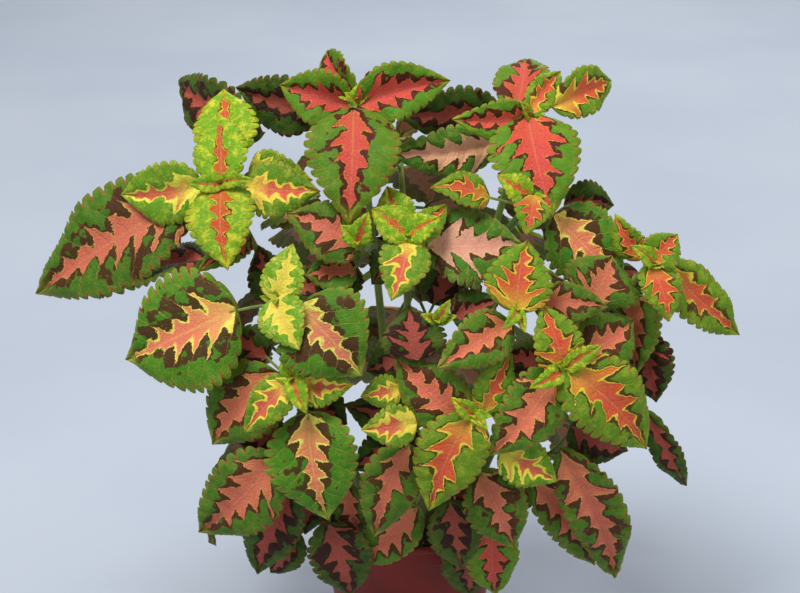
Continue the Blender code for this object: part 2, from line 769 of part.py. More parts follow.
def pot(home):
    shoulder = POT_HEIGHT - RIM_BAND
    lip_under = POT_HEIGHT - RIM_LIP
    band = wall_radius(shoulder) + 1.6 * MM
    rim_wall = RIM_RADIUS - RIM_LIP
    ease = 0.8 * MM
    profile = [
        (0, FLOOR), (wall_radius(FLOOR) - WALL, FLOOR), (wall_radius(shoulder) - WALL, shoulder),
        (rim_wall - ease, shoulder + 3 * MM), (rim_wall, POT_HEIGHT - ease), (rim_wall + ease, POT_HEIGHT),
        (RIM_RADIUS - ease, POT_HEIGHT), (RIM_RADIUS, POT_HEIGHT - ease), (RIM_RADIUS, lip_under),
        (band, lip_under - ease), (band, shoulder), (wall_radius(shoulder), shoulder - ease),
        (BASE_RADIUS, 2 * ease), (BASE_RADIUS - ease, 0), (0, 0),
    ]
    made = turned("pot", profile, POT_SIDES, home)
    made.data.materials.append(material("terracotta_plastic", (0.19, 0.032, 0.018), 0.45))
    drains = cutter_collection("drain_cutters")
    for number in range(DRAIN_HOLES):
        angle = math.tau * number / DRAIN_HOLES
        place = (DRAIN_CIRCLE * math.cos(angle), DRAIN_CIRCLE * math.sin(angle))
        cylinder_cutter(f"drain_{number}", DRAIN_RADIUS, -FLOOR, 1.5 * FLOOR, place, 10, drains)
    cut(made, drains)
    return made


def soil(home):
    edge = wall_radius(SOIL_TOP) - WALL - GAP * 1.4
    foot = wall_radius(FLOOR) - WALL - GAP * 1.4
    rings = [edge * ring / SOIL_RINGS for ring in range(SOIL_RINGS + 1)]
    profile = [(radius, SOIL_TOP) for radius in rings] + [(foot, FLOOR + GAP), (0, FLOOR + GAP)]
    made = turned("soil", profile, SOIL_SIDES, home)
    mesh = finished_mesh(made)
    made.modifiers.clear()
    made.data = mesh
    for vertex in mesh.vertices:
        place = vertex.co
        if place.z > SOIL_TOP / 2 and math.hypot(place.x, place.y) < edge * 0.9:
            place.z += SOIL_BUMP * math.sin(place.x * 260 + 1.3) * math.cos(place.y * 210 - 0.6)
            place.z += SOIL_BUMP * 0.6 * math.sin(place.x * 95 - place.y * 130)
    mesh.materials.append(material("potting_soil", (0.030, 0.018, 0.011), 0.95))
    holes = cutter_collection("stem_hole_cutters")
    for name, foot in FEET.items():
        place = (foot[0] * MM, foot[1] * MM)
        cylinder_cutter(name + "_hole", FOOT_RADIUS + 2.2 * GAP, SOIL_TOP - HOLE_DEPTH, SOIL_TOP + 10 * MM,
                        place, 8, holes)
    cut(made, holes)
    return made


def main():
    for made in list(bpy.data.objects):
        bpy.data.objects.remove(made)
    home = bpy.data.collections.new("coleus")
    bpy.context.scene.collection.children.link(home)
    skin = material("coleus_leaf", (0.30, 0.16, 0.045), 0.5)
    for name, (paths, leaves) in plant().items():
        leafy_stem(name, paths, leaves, skin, home)
    pot(home)
    soil(home)


main()
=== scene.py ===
"""The look of a bushy potted coleus: veined, scalloped leaves with painted hearts, square stems, potting
soil with crumbs and a terracotta-coloured nursery pot, on a plain pale floor in soft light."""
import json
import math
import random

import bpy
import numpy as np
from mathutils import Matrix, Quaternion, Vector

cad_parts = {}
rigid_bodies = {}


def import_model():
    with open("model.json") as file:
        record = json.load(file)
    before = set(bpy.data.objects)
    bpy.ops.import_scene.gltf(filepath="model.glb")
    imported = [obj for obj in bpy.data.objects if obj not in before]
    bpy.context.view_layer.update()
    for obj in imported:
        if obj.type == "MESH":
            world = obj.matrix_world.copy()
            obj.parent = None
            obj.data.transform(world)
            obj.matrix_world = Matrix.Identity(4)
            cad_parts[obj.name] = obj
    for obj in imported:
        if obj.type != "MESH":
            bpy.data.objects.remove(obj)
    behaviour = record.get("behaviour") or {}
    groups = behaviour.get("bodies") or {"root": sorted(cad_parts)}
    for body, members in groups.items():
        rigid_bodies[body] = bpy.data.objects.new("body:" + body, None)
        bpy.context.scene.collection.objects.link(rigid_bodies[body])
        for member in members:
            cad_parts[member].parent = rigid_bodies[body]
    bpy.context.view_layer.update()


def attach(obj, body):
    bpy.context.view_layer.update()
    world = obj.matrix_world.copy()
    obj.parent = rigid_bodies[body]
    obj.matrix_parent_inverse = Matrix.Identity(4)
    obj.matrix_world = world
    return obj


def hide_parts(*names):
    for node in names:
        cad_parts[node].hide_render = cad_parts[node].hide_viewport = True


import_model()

MM = 0.001

# pot
RIM_RADIUS = 57.5 * MM
RIM_BAND = 13 * MM
RIM_LIP = 3.2 * MM
POT_HEIGHT = 100 * MM
BASE_RADIUS = 39 * MM
WALL = 1.8 * MM
FLOOR = 2.4 * MM
SHOULDER_STEP = 4.5 * MM
CORNER_RADIUS = 1.1 * MM
POT_TURNS = 128
DRAIN_HOLES = 5
DRAIN_SIDES = 32
DRAIN_RADIUS = 4.5 * MM
DRAIN_CIRCLE = 25 * MM

# soil
SOIL_TOP = 86 * MM
SOIL_TURNS = 96
FINE_RINGS = 40
SOIL_BUMP = 1.1 * MM
SOIL_RELIEF = 0.8 * MM
CRUMBS_PER_AREA = 190000
PERLITE_PER_AREA = 9000
HOLE_DEPTH = 22 * MM
GAP = 0.3 * MM

# stems and leaf stalks
FOOT_RADIUS = 3.1 * MM
SHOOT_RADIUS = 1.9 * MM
STALK_RADIUS = 1.15 * MM
STALK_END = 0.75 * MM
THIN_STALK = 0.5 * MM
STALK_GROWTH = 0.011
STEM_POINTS = 6
SHOOT_SHARE = 0.8
STEM_SPACING = 3 * MM
STEM_SQUARE = 1.7
STEM_CORNER = 0.45
WOODY_HEIGHT = 120 * MM
STRAIGHT_STALK = 20 * MM
BUD_LEAF = 20 * MM
SEATED_REACH = 8 * MM
SEATED_DEPTH = 1.5 * MM

# leaves, and the buds that are the smallest of them at each growing tip
ROUND_BASE = 0.50
FULL_MIDDLE = 1.5
POINTED_TIP = 1.10
BUD_PAIRS = 2
BUD_LENGTH = 11 * MM
BUD_FOLD = 16

# how leaves hang: bow, sway and droop as shares of the length, twist in degrees, and how blades face
LEAST_ARCH = 0.05
MOST_ARCH = 0.12
MOST_TWIST = 9
MOST_SWAY = 0.05
TIP_DROOP = 0.05
FACE_NEAR = 0.75
FACE_OUT = 0.35
FACE_SKY = 0.12

# how blades are kept from crossing
SAMPLE_STEPS = (0.1, 0.22, 0.35, 0.5, 0.65, 0.8, 0.92, 1.0)
ROUNDS = 60
CLOSE = 7 * MM
CLEAR = 4.5 * MM
STEM_CLEAR = 7 * MM
BASE_REACH = 9 * MM
TIP_REACH = 26 * MM

# how the plant is seen from the front: the places of its leaves below are given in this view
VIEW_TILT = math.radians(20)
VIEW_DISTANCE = 1.30
PICTURE_WIDTH = 0.48
SENSOR_WIDTH = 36
VIEW_AIM_RIGHT = -6 * MM
VIEW_AIM_UP = 126 * MM
RIGHT = Vector((1, 0, 0))
UP = Vector((0, math.sin(VIEW_TILT), math.cos(VIEW_TILT)))
NEAR = Vector((0, -math.cos(VIEW_TILT), math.sin(VIEW_TILT)))
SKY = Vector((0, 0, 1))
RIM_CENTRE = Vector((0, 0, POT_HEIGHT))

# the crown of leaves is a dome: its middle and half sizes in the front view, in millimetres
DOME_MIDDLE = (-10, 108, 36)
DOME_SIZE = (230, 186, 112)
LAYER = 12
FOOT_TUCK = 4
SHOOT_TUCK = 6

SEED = 207
PAINT_SEED = 1000

# ages of leaf; the last is an older leaf, darker and duller, with painted shade for the lower and inner
# crown
YOUNG, GOLD, AMBER, CORAL, ROSE, SALMON, MATURE, PALE, SHADED_OLD = range(9)

# Where each stem stands in the soil (right, back) in millimetres.
FEET = {
    "left_stem": (-30, -6), "top_stem": (-8, 6), "right_crown_stem": (12, 8), "centre_stem": (-3, -14),
    "lower_left_stem": (-22, -24), "front_stem": (4, -33), "right_stem": (17, -12),
    "far_right_stem": (33, -2), "lower_right_stem": (24, -24),
    "back_stem": (0, 27),
}

# Each stem's shoots, as seen from the front, in millimetres: a shoot's name, the right and up of its growing
# tip, how far it lies inside the dome (0 on it, 1 at its middle), and its leaves. A leaf is its base's right
# and up, its tip's right and up, its width, its layer under the dome, the turn of its blade about its length
# and the upward fold of its halves in degrees, and its age.
SHOOTS = {
    "left_stem": [
        ("crown", -113, 194, 0.0, [
            (-113, 198, -116, 237, 32, 0, 0, 4, YOUNG),
            (-109, 207, -111, 250, 38, 1, 0, 4, YOUNG),
            (-113, 190, -110, 143, 41, 0, 0, 0, YOUNG),
            (-116, 194, -133, 194, 11, -0.4, -15, 14, YOUNG),
            (-110, 195, -95, 196, 10, -0.4, 15, 14, YOUNG),
            (-124, 194, -173, 187, 38, 1, -30, 12, AMBER),
            (-100, 192, -55, 190, 34, 1, 12, 4, AMBER),
            (-96, 203, -59, 196, 29, 2, 25, 8, AMBER),
            (-89, 225, -141, 256, 38, 3, -42, 8, SHADED_OLD),
            (-132, 184, -223, 125, 64, 2, 0, 4, SALMON),
            (-123, 149, -192, 131, 44, 3, 48, 8, SHADED_OLD),
            (-108, 147, -127, 142, 20, 2, 0, 4, ROSE),
        ]),
        ("pair", -80, 124, 0.0, [
            (-79, 127, -71, 158, 26, 0, 0, 8, GOLD),
            (-81, 121, -65, 93, 29, 0, 0, 8, GOLD),
            (-103, 119, -171, 88, 73, 1, 0, 2, MATURE),
            (-68, 121, -29, 79, 59, 0.4, 0, 2, MATURE),
            (-82, 130, -92, 157, 26, 3, 0, 4, SHADED_OLD),
            (-71, 130, -40, 139, 25, 3, 10, 4, SHADED_OLD),
        ]),
    ],
    "top_stem": [
        ("crown", -32, 242, 0.0, [
            (-29, 241, 24, 256, 37, 0, 30, 24, ROSE),
            (-34, 241, -76, 254, 36, 1, -30, 24, ROSE),
            (-32, 244, -51, 274, 32, 1, -50, 20, ROSE),
            (-34, 237, -36, 172, 55, 0, 0, 2, ROSE),
            (-53, 237, -107, 251, 36, 2, -40, 8, SHADED_OLD),
            (-32, 244, -29, 254, 8, -0.4, 0, 14, YOUNG),
            (-35, 242, -39, 248, 7, -0.4, 0, 14, YOUNG),
        ]),
        ("low_rosette", -31, 159, 0.0, [
            (-32, 160, -42, 167, 12, 0, 0, 14, YOUNG),
            (-28, 161, -25, 176, 14, 0, 0, 14, YOUNG),
            (-32, 154, -73, 176, 37, 1, 0, 4, SALMON),
            (-32, 141, -63, 139, 29, 2, 20, 6, SALMON),
            (-35, 149, -53, 117, 28, 3, -10, 4, SHADED_OLD),
        ]),
    ],
    "right_crown_stem": [
        ("crown", 71, 234, 0.0, [
            (72, 232, 88, 179, 55, 0, 0, 2, ROSE),
            (65, 238, 27, 233, 26, 0, -30, 18, ROSE),
            (65, 242, 70, 274, 34, 1, -20, 16, ROSE),
            (72, 237, 95, 257, 18, 0, 10, 18, CORAL),
            (79, 237, 118, 254, 29, 0.6, 30, 16, CORAL),
            (54, 237, -9, 234, 34, 2, -42, 10, SHADED_OLD),
            (54, 220, -15, 212, 31, 3, -35, 8, PALE),
            (71, 233, 66, 242, 7, -0.4, 0, 14, YOUNG),
        ]),
        ("low_shoot", 71, 186, 0.0, [
            (70, 188, 53, 199, 18, 0, 0, 10, YOUNG),
            (72, 184, 68, 161, 22, 0, 0, 10, CORAL),
            (47, 184, 11, 190, 23, 1, 10, 4, CORAL),
        ]),
    ],
    "centre_stem": [
        ("rosette", -1, 162, 0.0, [
            (-3, 164, -23, 180, 23, 0, 0, 10, YOUNG),
            (-3, 167, -13, 193, 23, 1, 0, 10, YOUNG),
            (1, 161, 18, 173, 17, 0, 0, 10, YOUNG),
            (5, 175, 23, 182, 18, 1, 10, 10, CORAL),
            (-1, 157, -11, 124, 30, 0, 0, 4, AMBER),
            (10, 157, 68, 160, 47, 1, 0, 2, PALE),
            (-7, 153, -24, 133, 25, 3, 0, 4, SHADED_OLD),
        ]),
        ("inner_shoot", 16, 112, 0.0, [
            (18, 115, 24, 124, 8, 0, 0, 14, YOUNG),
            (4, 89, -1, 122, 38, 1, 0, 6, SHADED_OLD),
            (25, 113, 54, 124, 26, 2, 0, 6, SHADED_OLD),
            (-3, 93, -26, 81, 28, 2, 0, 6, SHADED_OLD),
            (14, 121, 24, 149, 26, 3, 0, 4, SHADED_OLD),
        ]),
    ],
    "lower_left_stem": [
        ("rosette", -70, 77, 0.0, [
            (-71, 79, -74, 92, 12, 0, 0, 12, YOUNG),
            (-68, 74, -62, 56, 14, 0, 0, 12, YOUNG),
            (-66, 78, -34, 73, 24, 1, 5, 10, AMBER),
            (-74, 75, -100, 44, 25, 0, 0, 8, AMBER),
            (-61, 57, -49, -8, 54, 1, 0, 2, MATURE),
            (-79, 81, -119, 37, 48, 2, 0, 4, SALMON),
            (-85, 89, -110, 105, 28, 3, 0, 6, SHADED_OLD),
            (-64, 68, -38, 49, 32, 3, 0, 4, SHADED_OLD),
        ]),
        ("older_leaves", -66, 40, 0.9, [
            (-79, 30, -128, -16, 46, 1, 0, 4, SALMON),
            (-71, 13, -92, -41, 35, 2, 0, 4, SHADED_OLD),
            (-49, -9, -35, -52, 37, 2, 0, 2, SHADED_OLD),
            (-66, -14, -84, -40, 22, 3, 0, 6, SHADED_OLD),
            (-39, 13, -29, -19, 20, 3, 0, 8, SALMON),
            (-73, 43, -106, 40, 28, 3.5, 0, 4, SHADED_OLD),
            (-58, 14, -64, -19, 23, 3.2, 0, 4, SHADED_OLD),
        ]),
    ],
    "front_stem": [
        ("rosette", 37, 55, 0.0, [
            (34, 58, 25, 65, 11, 0, 0, 12, YOUNG),
            (41, 53, 47, 46, 7, 0, 0, 12, YOUNG),
            (35, 50, 11, -3, 42, 0, 0, 4, CORAL),
            (31, 53, -9, 89, 37, 1, 0, 4, SALMON),
            (43, 56, 62, 91, 25, 1, 10, 8, CORAL),
            (41, 22, 62, -22, 37, 2, 0, 4, SALMON),
            (54, 34, 88, 16, 29, 1, 10, 8, AMBER),
            (24, 4, 31, -36, 32, 2, 0, 6, SHADED_OLD),
            (31, 59, 6, 74, 28, 3, 0, 4, SHADED_OLD),
        ]),
        ("side_pair", 1, 47, 0.3, [
            (-1, 38, -22, -19, 35, 1, 0, 4, SALMON),
            (4, 50, -29, 46, 25, 0, 0, 6, AMBER),
            (-4, 70, -29, 65, 20, 1, 0, 6, AMBER),
            (5, -1, -35, -38, 30, 2, 0, 4, SALMON),
            (-5, 50, -40, 62, 28, 3, 0, 4, SHADED_OLD),
            (-4, 43, -36, 22, 28, 3, 0, 4, SHADED_OLD),
        ]),
    ],
    "right_stem": [
        ("rosette", 64, 118, 0.0, [
            (62, 119, 71, 160, 40, 0, 0, 4, CORAL),
            (75, 121, 119, 119, 25, 1, 0, 8, SALMON),
            (62, 114, 56, 106, 8, -0.3, 0, 14, YOUNG),
            (66, 112, 70, 106, 7, -0.3, 0, 14, YOUNG),
            (61, 104, 14, 83, 32, 1, 0, 4, SALMON),
        ]),
        ("front_rosette", 93, 83, 0.0, [
            (89, 89, 77, 122, 30, 1, 0, 6, CORAL),
            (95, 86, 115, 97, 12, 0, 0, 12, YOUNG),
            (90, 80, 72, 71, 12, 0, 0, 12, YOUNG),
            (98, 79, 143, 34, 47, 0, 0, 3, CORAL),
            (82, 76, 45, 31, 38, 1, 0, 4, SALMON),
            (103, 91, 136, 113, 37, 1.4, 0, 4, SALMON),
            (83, 85, 55, 93, 28, 3, 0, 4, SHADED_OLD),
        ]),
    ],
    "far_right_stem": [
        ("crown", 145, 146, 0.0, [
            (145, 149, 160, 163, 24, 0, 0, 8, CORAL),
            (145, 143, 157, 112, 26, 0, 0, 8, CORAL),
            (152, 145, 199, 103, 32, 1, 0, 8, CORAL),
            (141, 149, 123, 175, 20, 1, -45, 14, CORAL),
            (141, 143, 132, 156, 11, 0, 0, 12, YOUNG),
            (136, 127, 136, 79, 37, 3, 35, 14, SALMON),
            (138, 106, 147, 62, 34, 3, 40, 8, SHADED_OLD),
            (136, 141, 114, 124, 26, 4, 0, 4, SHADED_OLD),
        ]),
        ("inner_leaves", 114, 133, 0.5, [
            (109, 124, 122, 151, 48, 1, 0, 4, SALMON),
            (86, 175, 130, 135, 49, 2, 0, 3, MATURE),
            (92, 182, 122, 181, 28, 3, 30, 6, SHADED_OLD),
            (106, 143, 80, 167, 28, 4, 0, 4, SHADED_OLD),
        ]),
    ],
    "lower_right_stem": [
        ("rosette", 83, 31, 0.5, [
            (74, 16, 112, -37, 30, 2, 0, 4, SALMON),
            (90, 34, 124, -46, 35, 1, 10, 10, SALMON),
            (96, 49, 131, 33, 31, 2, 20, 6, SHADED_OLD),
            (142, 57, 166, 11, 18, 1, 35, 14, SHADED_OLD),
            (50, -10, 52, -55, 31, 2, 0, 4, ROSE),
            (57, 17, 82, 4, 28, 3, 0, 6, SHADED_OLD),
            (33, -17, 36, -56, 32, 3, 0, 6, SHADED_OLD),
        ]),
    ],
}

# The stem that the front view hides: its shoots, by compass direction of their tips (0 at the right, 90 at
# the back), height of the tip above the soil and reach from the middle, in degrees and millimetres.
BACK_SHOOTS = {
    "back_stem": [("upper", 96, 226, 62), ("upper_left", 140, 190, 98), ("upper_right", 40, 186, 100),
                  ("lower_left", 150, 98, 124), ("lower_back", 88, 118, 116), ("lower_right", 36, 96, 126)],
}

# The pairs of leaves on each of its shoots: millimetres under the tip, length in millimetres, and droop.
BACK_PAIRS = ((0, 40, 0), (20, 66, 1), (46, 84, 2))

# the fine blade: depths are those of a leaf as long as LARGE_LEAF
SCALLOPS_LEAST = 6
SCALLOPS_PER_METRE = 90
ROWS_PER_SCALLOP = 6
HALF_COLUMNS = 6
COLUMN_SPREAD = 0.8
FOOT_FADE = 9
TIP_FADE = 14
SCALLOP_DEPTH = 0.16
SCALLOP_LEAN = 0.8
SCALLOP_MIDDLE = 0.62
EDGE_OFFSET = 0.35
VEINS_PER_SCALLOP = 0.5
VEIN_SLOPE = 0.8
VEIN_OFFSETS = (0.5, 0.2)
LEAST_WIDTH = 0.25 * MM
LARGE_LEAF = 100 * MM
THICKNESS = 0.7 * MM
EDGE_THINNING = 0.4
QUILT = 2.0 * MM
BELLY = 0.05
RUFFLE = 0.022
WAVES = 2.4
WAVE_OFFSET = 2.1
FRILL = 0.9 * MM
GUTTER = 0.7 * MM
GUTTER_WIDTH = 1.6 * MM
MIDRIB = 1.1 * MM
MIDRIB_WIDTH = 0.9 * MM
MIDRIB_TAPER = 0.7
SIDE_RIB = 0.35 * MM
SIDE_RIB_SLIMNESS = 6

# the painted parts of a leaf at each age: colours read off a screen, sizes as shares of the half width
LOOK_PARTS = ("heart", "rim", "band", "green", "heart_size", "band_size", "rim_size", "mottle")
LOOKS = {
    YOUNG: ((196, 58, 26), (216, 206, 48), (120, 34, 12), (112, 162, 22), 0.34, 0.04, 0.03, 0.85),
    GOLD: ((234, 216, 70), (240, 228, 96), (150, 172, 34), (104, 160, 26), 0.74, 0.02, 0.06, 0.5),
    AMBER: ((218, 88, 68), (234, 218, 76), (110, 110, 24), (86, 136, 20), 0.56, 0.03, 0.24, 0.25),
    CORAL: ((214, 68, 52), (226, 204, 58), (90, 62, 18), (94, 138, 20), 0.78, 0.12, 0.08, 0.2),
    ROSE: ((206, 60, 60), (214, 176, 60), (84, 32, 12), (76, 126, 18), 0.70, 0.20, 0.01, 0.1),
    SALMON: ((214, 108, 84), (216, 178, 84), (80, 46, 14), (62, 108, 16), 0.66, 0.22, 0.02, 0.08),
    MATURE: ((222, 118, 88), (234, 222, 96), (76, 50, 14), (60, 118, 14), 0.42, 0.28, 0.05, 0.05),
    PALE: ((240, 172, 140), (238, 214, 130), (84, 48, 22), (70, 128, 26), 0.80, 0.14, 0.03, 0.15),
    # older leaves made darker and duller with painted shade, for the deep and lower crown
    SHADED_OLD: ((172, 76, 58), (122, 92, 40), (52, 24, 9), (40, 74, 12), 0.58, 0.26, 0.01, 0.05),
}

# the leaf paint: what it reads from each blade, how fine its noise is, and its fixed linear colours
PAINT_VALUES = ("Along", "Across", "Edge Phase", "Vein Phase", "Heart Size", "Band Size", "Rim Size",
                "Mottle")
PAINT_COLOURS = ("Heart", "Rim", "Band", "Green")
PATCH_SCALE = 75
BLOT_SCALE = 190
SPECK_SCALE = 700
NET_SCALE = 420
LIME_CLOUD = (0.30, 0.42, 0.03, 1)
CRIMSON_MIDDLE = (0.55, 0.10, 0.12, 1)
NOTCH_DOT = (0.34, 0.055, 0.02, 1)
NET_SHADE = (0.02, 0.02, 0.005, 1)
UNDERSIDE = (0.36, 0.33, 0.16, 1)

# stems: two colours read off a screen for their young parts, and two for their old ones
YOUNG_STEM = ((88, 124, 34), (136, 146, 58))
OLD_STEM = ((70, 58, 28), (76, 92, 34))

# dull surfaces: light and dark colour read off a screen, how fine their patches and their grain are, and
# their roughness, depth of grain and shine
SURFACES = {
    # the pot's terracotta red is darkened further with painted shade
    "terracotta_plastic": ((128, 34, 18), (100, 24, 12), 22, 900, 0.48, 0.12 * MM, 0.25),
    "potting_soil": ((66, 48, 34), (30, 21, 15), 120, 1500, 0.92, 0.8 * MM, 0.2),
    "perlite": ((214, 208, 196), (176, 168, 152), 300, 2500, 0.8, 0.4 * MM, 0.4),
    "pale_floor": ((186, 193, 205), (178, 186, 199), 3, 300, 0.85, 0.2 * MM, 0.2),
}

# the stage: the lights' names, places, sizes and watts
FLOOR_SIZE = 6.0
SKY_COLOUR = (0.92, 0.96, 1.0, 1)
SKY_LIGHT = 0.38
LIGHT_AIM = (0, 0, 0.2)
LIGHTS = (("main_light", (-0.7, -0.9, 2.3), 1.0, 52), ("side_light", (1.6, -0.5, 1.3), 1.2, 10),
          ("back_light", (0.3, 1.9, 1.4), 1.4, 16))


def seen(right, up, near):
    """The place seen at this right and up from the rim's middle, and so much nearer, in millimetres."""
    shrink = 1 - near * MM / VIEW_DISTANCE
    side = VIEW_AIM_RIGHT + (right * MM - VIEW_AIM_RIGHT) * shrink
    rise = VIEW_AIM_UP + (up * MM - VIEW_AIM_UP) * shrink
    return RIM_CENTRE + RIGHT * side + UP * rise + NEAR * near * MM


def dome_near(right, up):
    """How near the dome of leaves comes at this place of the front view, in millimetres."""
    across = (right - DOME_MIDDLE[0]) / DOME_SIZE[0]
    above = (up - DOME_MIDDLE[1]) / DOME_SIZE[1]
    return DOME_MIDDLE[2] + DOME_SIZE[2] * math.sqrt(max(0.03, 1 - across ** 2 - above ** 2))


def bezier(start, pull, push, end, count):
    """Points along a cubic curve."""
    points = []
    for step in range(count):
        t = step / (count - 1)
        points.append(start * (1 - t) ** 3 + pull * 3 * t * (1 - t) ** 2 + push * 3 * t ** 2 * (1 - t)
                      + end * t ** 3)
    return points


def outline(u):
    """How wide a blade is at u along its midrib, before scaling: round at the foot, pointed at the tip."""
    return u ** ROUND_BASE * (1 - u ** FULL_MIDDLE) ** POINTED_TIP


WIDEST = max(outline(step / 100) for step in range(101))


def limited(move, most):
    return move if move.length <= most else move.normalized() * most


class Leaf:
    """A leaf: its blade runs from base to tip, and faces as asked, turned about its length."""

    def __init__(self, base, tip, facing, width, fold, age, draw):
        self.base, self.tip, self.facing, self.width = base, tip, facing, width
        self.fold, self.age = math.radians(fold), age
        self.arch = draw.uniform(LEAST_ARCH, MOST_ARCH)
        self.twist = math.radians(draw.uniform(-MOST_TWIST, MOST_TWIST))
        self.curl = draw.uniform(-MOST_SWAY, MOST_SWAY)
        self.seated = False
        self.first_base, self.first_tip = base.copy(), tip.copy()
        self.set_frame()

    def set_frame(self):
        run = self.tip - self.base
        self.length = run.length
        self.along = run.normalized()
        self.normal = (self.facing - self.along * self.facing.dot(self.along)).normalized()
        self.across = self.along.cross(self.normal)

    def shift(self, base_push, tip_push):
        """Move the blade's base and tip, at its own length and within its stalk's reach."""
        reach = self.length
        self.base += base_push
        self.base = self.first_base + limited(self.base - self.first_base, BASE_REACH)
        self.tip = self.first_tip + limited(self.tip + tip_push - self.first_tip, TIP_REACH)
        self.tip = self.base + (self.tip - self.base).normalized() * reach
        self.set_frame()

    def half_width(self, u):
        return self.width / 2 * outline(u) / WIDEST

    def point(self, u, x):
        """The place at u along the midrib and x across it."""
        turn = self.twist * (u - 0.3)
        across = self.across * math.cos(turn) + self.normal * math.sin(turn)
        normal = self.normal * math.cos(turn) - self.across * math.sin(turn)
        bow = (4 * u * (1 - u) * self.arch - TIP_DROOP * u ** 4) * self.length
        sway = math.sin(math.pi * u) * self.curl * self.length
        return (self.base + self.along * u * self.length + self.normal * bow + self.across * sway
                + across * x * math.cos(self.fold) + normal * abs(x) * math.sin(self.fold))


def front_leaf(row, draw):
    base_right, base_up, tip_right, tip_up, width, layer, turn, fold, age = row
    base_near = dome_near(base_right, base_up) - layer * LAYER - FOOT_TUCK
    tip_near = dome_near(tip_right, tip_up) - layer * LAYER
    base = seen(base_right, base_up, base_near)
    tip = seen(tip_right, tip_up, tip_near)
    middle_right = (base_right + tip_right) / 2 - DOME_MIDDLE[0]
    middle_up = (base_up + tip_up) / 2 - DOME_MIDDLE[1]
    outward = RIGHT * (middle_right / DOME_SIZE[0]) + UP * (middle_up / DOME_SIZE[1]) + NEAR * 0.6
    facing = (NEAR * FACE_NEAR + outward.normalized() * FACE_OUT + SKY * FACE_SKY).normalized()
    facing.rotate(Quaternion((tip - base).normalized(), math.radians(turn)))
    shrink = 1 - (base_near + tip_near) / 2 * MM / VIEW_DISTANCE
    return Leaf(base, tip, facing, width * shrink * MM, fold, age, draw)


def shoot_path(start, heading, tip, tip_heading):
    reach = (tip - start).length
    return bezier(start, start + heading * reach * 0.4, tip - tip_heading * reach * 0.35, tip, STEM_POINTS)


def back_leaves(tip, tip_heading, draw):
    """Opposite pairs round a shoot, each pair turned a quarter from the one above it."""
    leaves = []
    level = tip_heading.cross(SKY).normalized()
    spin = draw.uniform(0, math.pi)
    for number, (down, length, droop) in enumerate(BACK_PAIRS):
        for half in range(2):
            angle = spin + number * math.pi / 2 + half * math.pi
            side = Quaternion(tip_heading, angle) @ level
            size = length * draw.uniform(0.85, 1.12) * MM
            start = tip - tip_heading * down * MM
            base = start + side * (3 + number * 5) * MM
            lean = (side + tip_heading * (0.45 - 0.35 * number) - SKY * 0.22 * droop).normalized()
            # lower pairs take older looks, down to the darkest one, which is painted shade
            age = (CORAL, ROSE, SALMON, SHADED_OLD)[min(3, number + draw.randrange(2))]
            leaf = Leaf(base, base + lean * size, tip_heading, size * draw.uniform(0.6, 0.7), 6, age, draw)
            leaves.append(leaf)
    return leaves


def plant():
    """Every stem's name with its stem paths and its leaves, as (leaf, place where its stalk starts)."""
    stems = {}
    for number, (name, foot) in enumerate(FEET.items()):
        draw = random.Random(SEED + number)
        ground = Vector((foot[0] * MM, foot[1] * MM, SOIL_TOP))
        shoots = []
        for shoot in SHOOTS.get(name, []):
            _, right, up, depth, rows = shoot
            near = dome_near(right, up) * (1 - depth) + DOME_MIDDLE[2] * depth - SHOOT_TUCK
            tip = seen(right, up, near)
            heading = (tip - Vector((0, 0, SOIL_TOP + 60 * MM))).normalized()
            heading = (heading + SKY * 0.35 + NEAR * 0.25).normalized()
            shoots.append((tip, heading, [front_leaf(row, draw) for row in rows]))
        for shoot in BACK_SHOOTS.get(name, []):
            _, compass, height, reach = shoot
            angle = math.radians(compass)
            out = Vector((math.cos(angle), math.sin(angle), 0))
            tip = out * reach * MM + SKY * (SOIL_TOP + height * MM)
            heading = (out * 0.8 + SKY * (0.25 + height / 260)).normalized()
            shoots.append((tip, heading, back_leaves(tip, heading, draw)))
        paths, leaves = [], []
        for order, (tip, heading, grown) in enumerate(shoots):
            if order == 0:
                rise = (SKY + Vector((ground.x, ground.y, 0)) * 6).normalized()
                path = shoot_path(ground, rise, tip, heading)
                path.insert(0, ground - SKY * (HOLE_DEPTH - GAP))
            else:
                trunk = paths[0]
                gaps = [(point - tip).length - 0.6 * (point - ground).length for point in trunk[2:5]]
                fork = 2 + gaps.index(min(gaps))
                rise = (trunk[fork + 1] - trunk[fork]).normalized()
                path = shoot_path(trunk[fork], rise, tip, heading)
            paths.append(path)
            leaves += [(leaf, path) for leaf in grown]
        stems[name] = (paths, leaves)
    bend_clear(stems)
    seat_leaves(stems)
    return stems


def nearest_on(path, place):
    """The point of a path nearest to a place, between its path's points, and short of its tip."""
    best = None
    for first, second in zip(path[2:-1], path[3:]):
        run = second - first
        t = min(1, max(0, (place - first).dot(run) / run.length_squared))
        point = first + run * t
        gap = (point - place).length
        if best is None or gap < best[0]:
            best = (gap, point)
    return best[1]


def seat_leaves(stems):
    """Buds, and leaves whose foot is almost on their stem, start inside it without a stalk."""
    for _, grown in stems.values():
        for leaf, path in grown:
            start = nearest_on(path, leaf.base)
            if leaf.length < BUD_LEAF or (leaf.base - start).length < SEATED_REACH:
                leaf.seated = True
                leaf.base = start - leaf.along * SEATED_DEPTH
                leaf.set_frame()


def stalk_path(leaf, path):
    """A stalk from inside the stem to under the blade's foot."""
    start = nearest_on(path, leaf.base - leaf.along * leaf.length * 0.08)
    under = leaf.point(0.07, 0)
    reach = (leaf.base - start).length
    if reach < STRAIGHT_STALK:
        return [start, under]
    return [start, (start + leaf.base) / 2 + leaf.normal * 0.12 * reach, under]


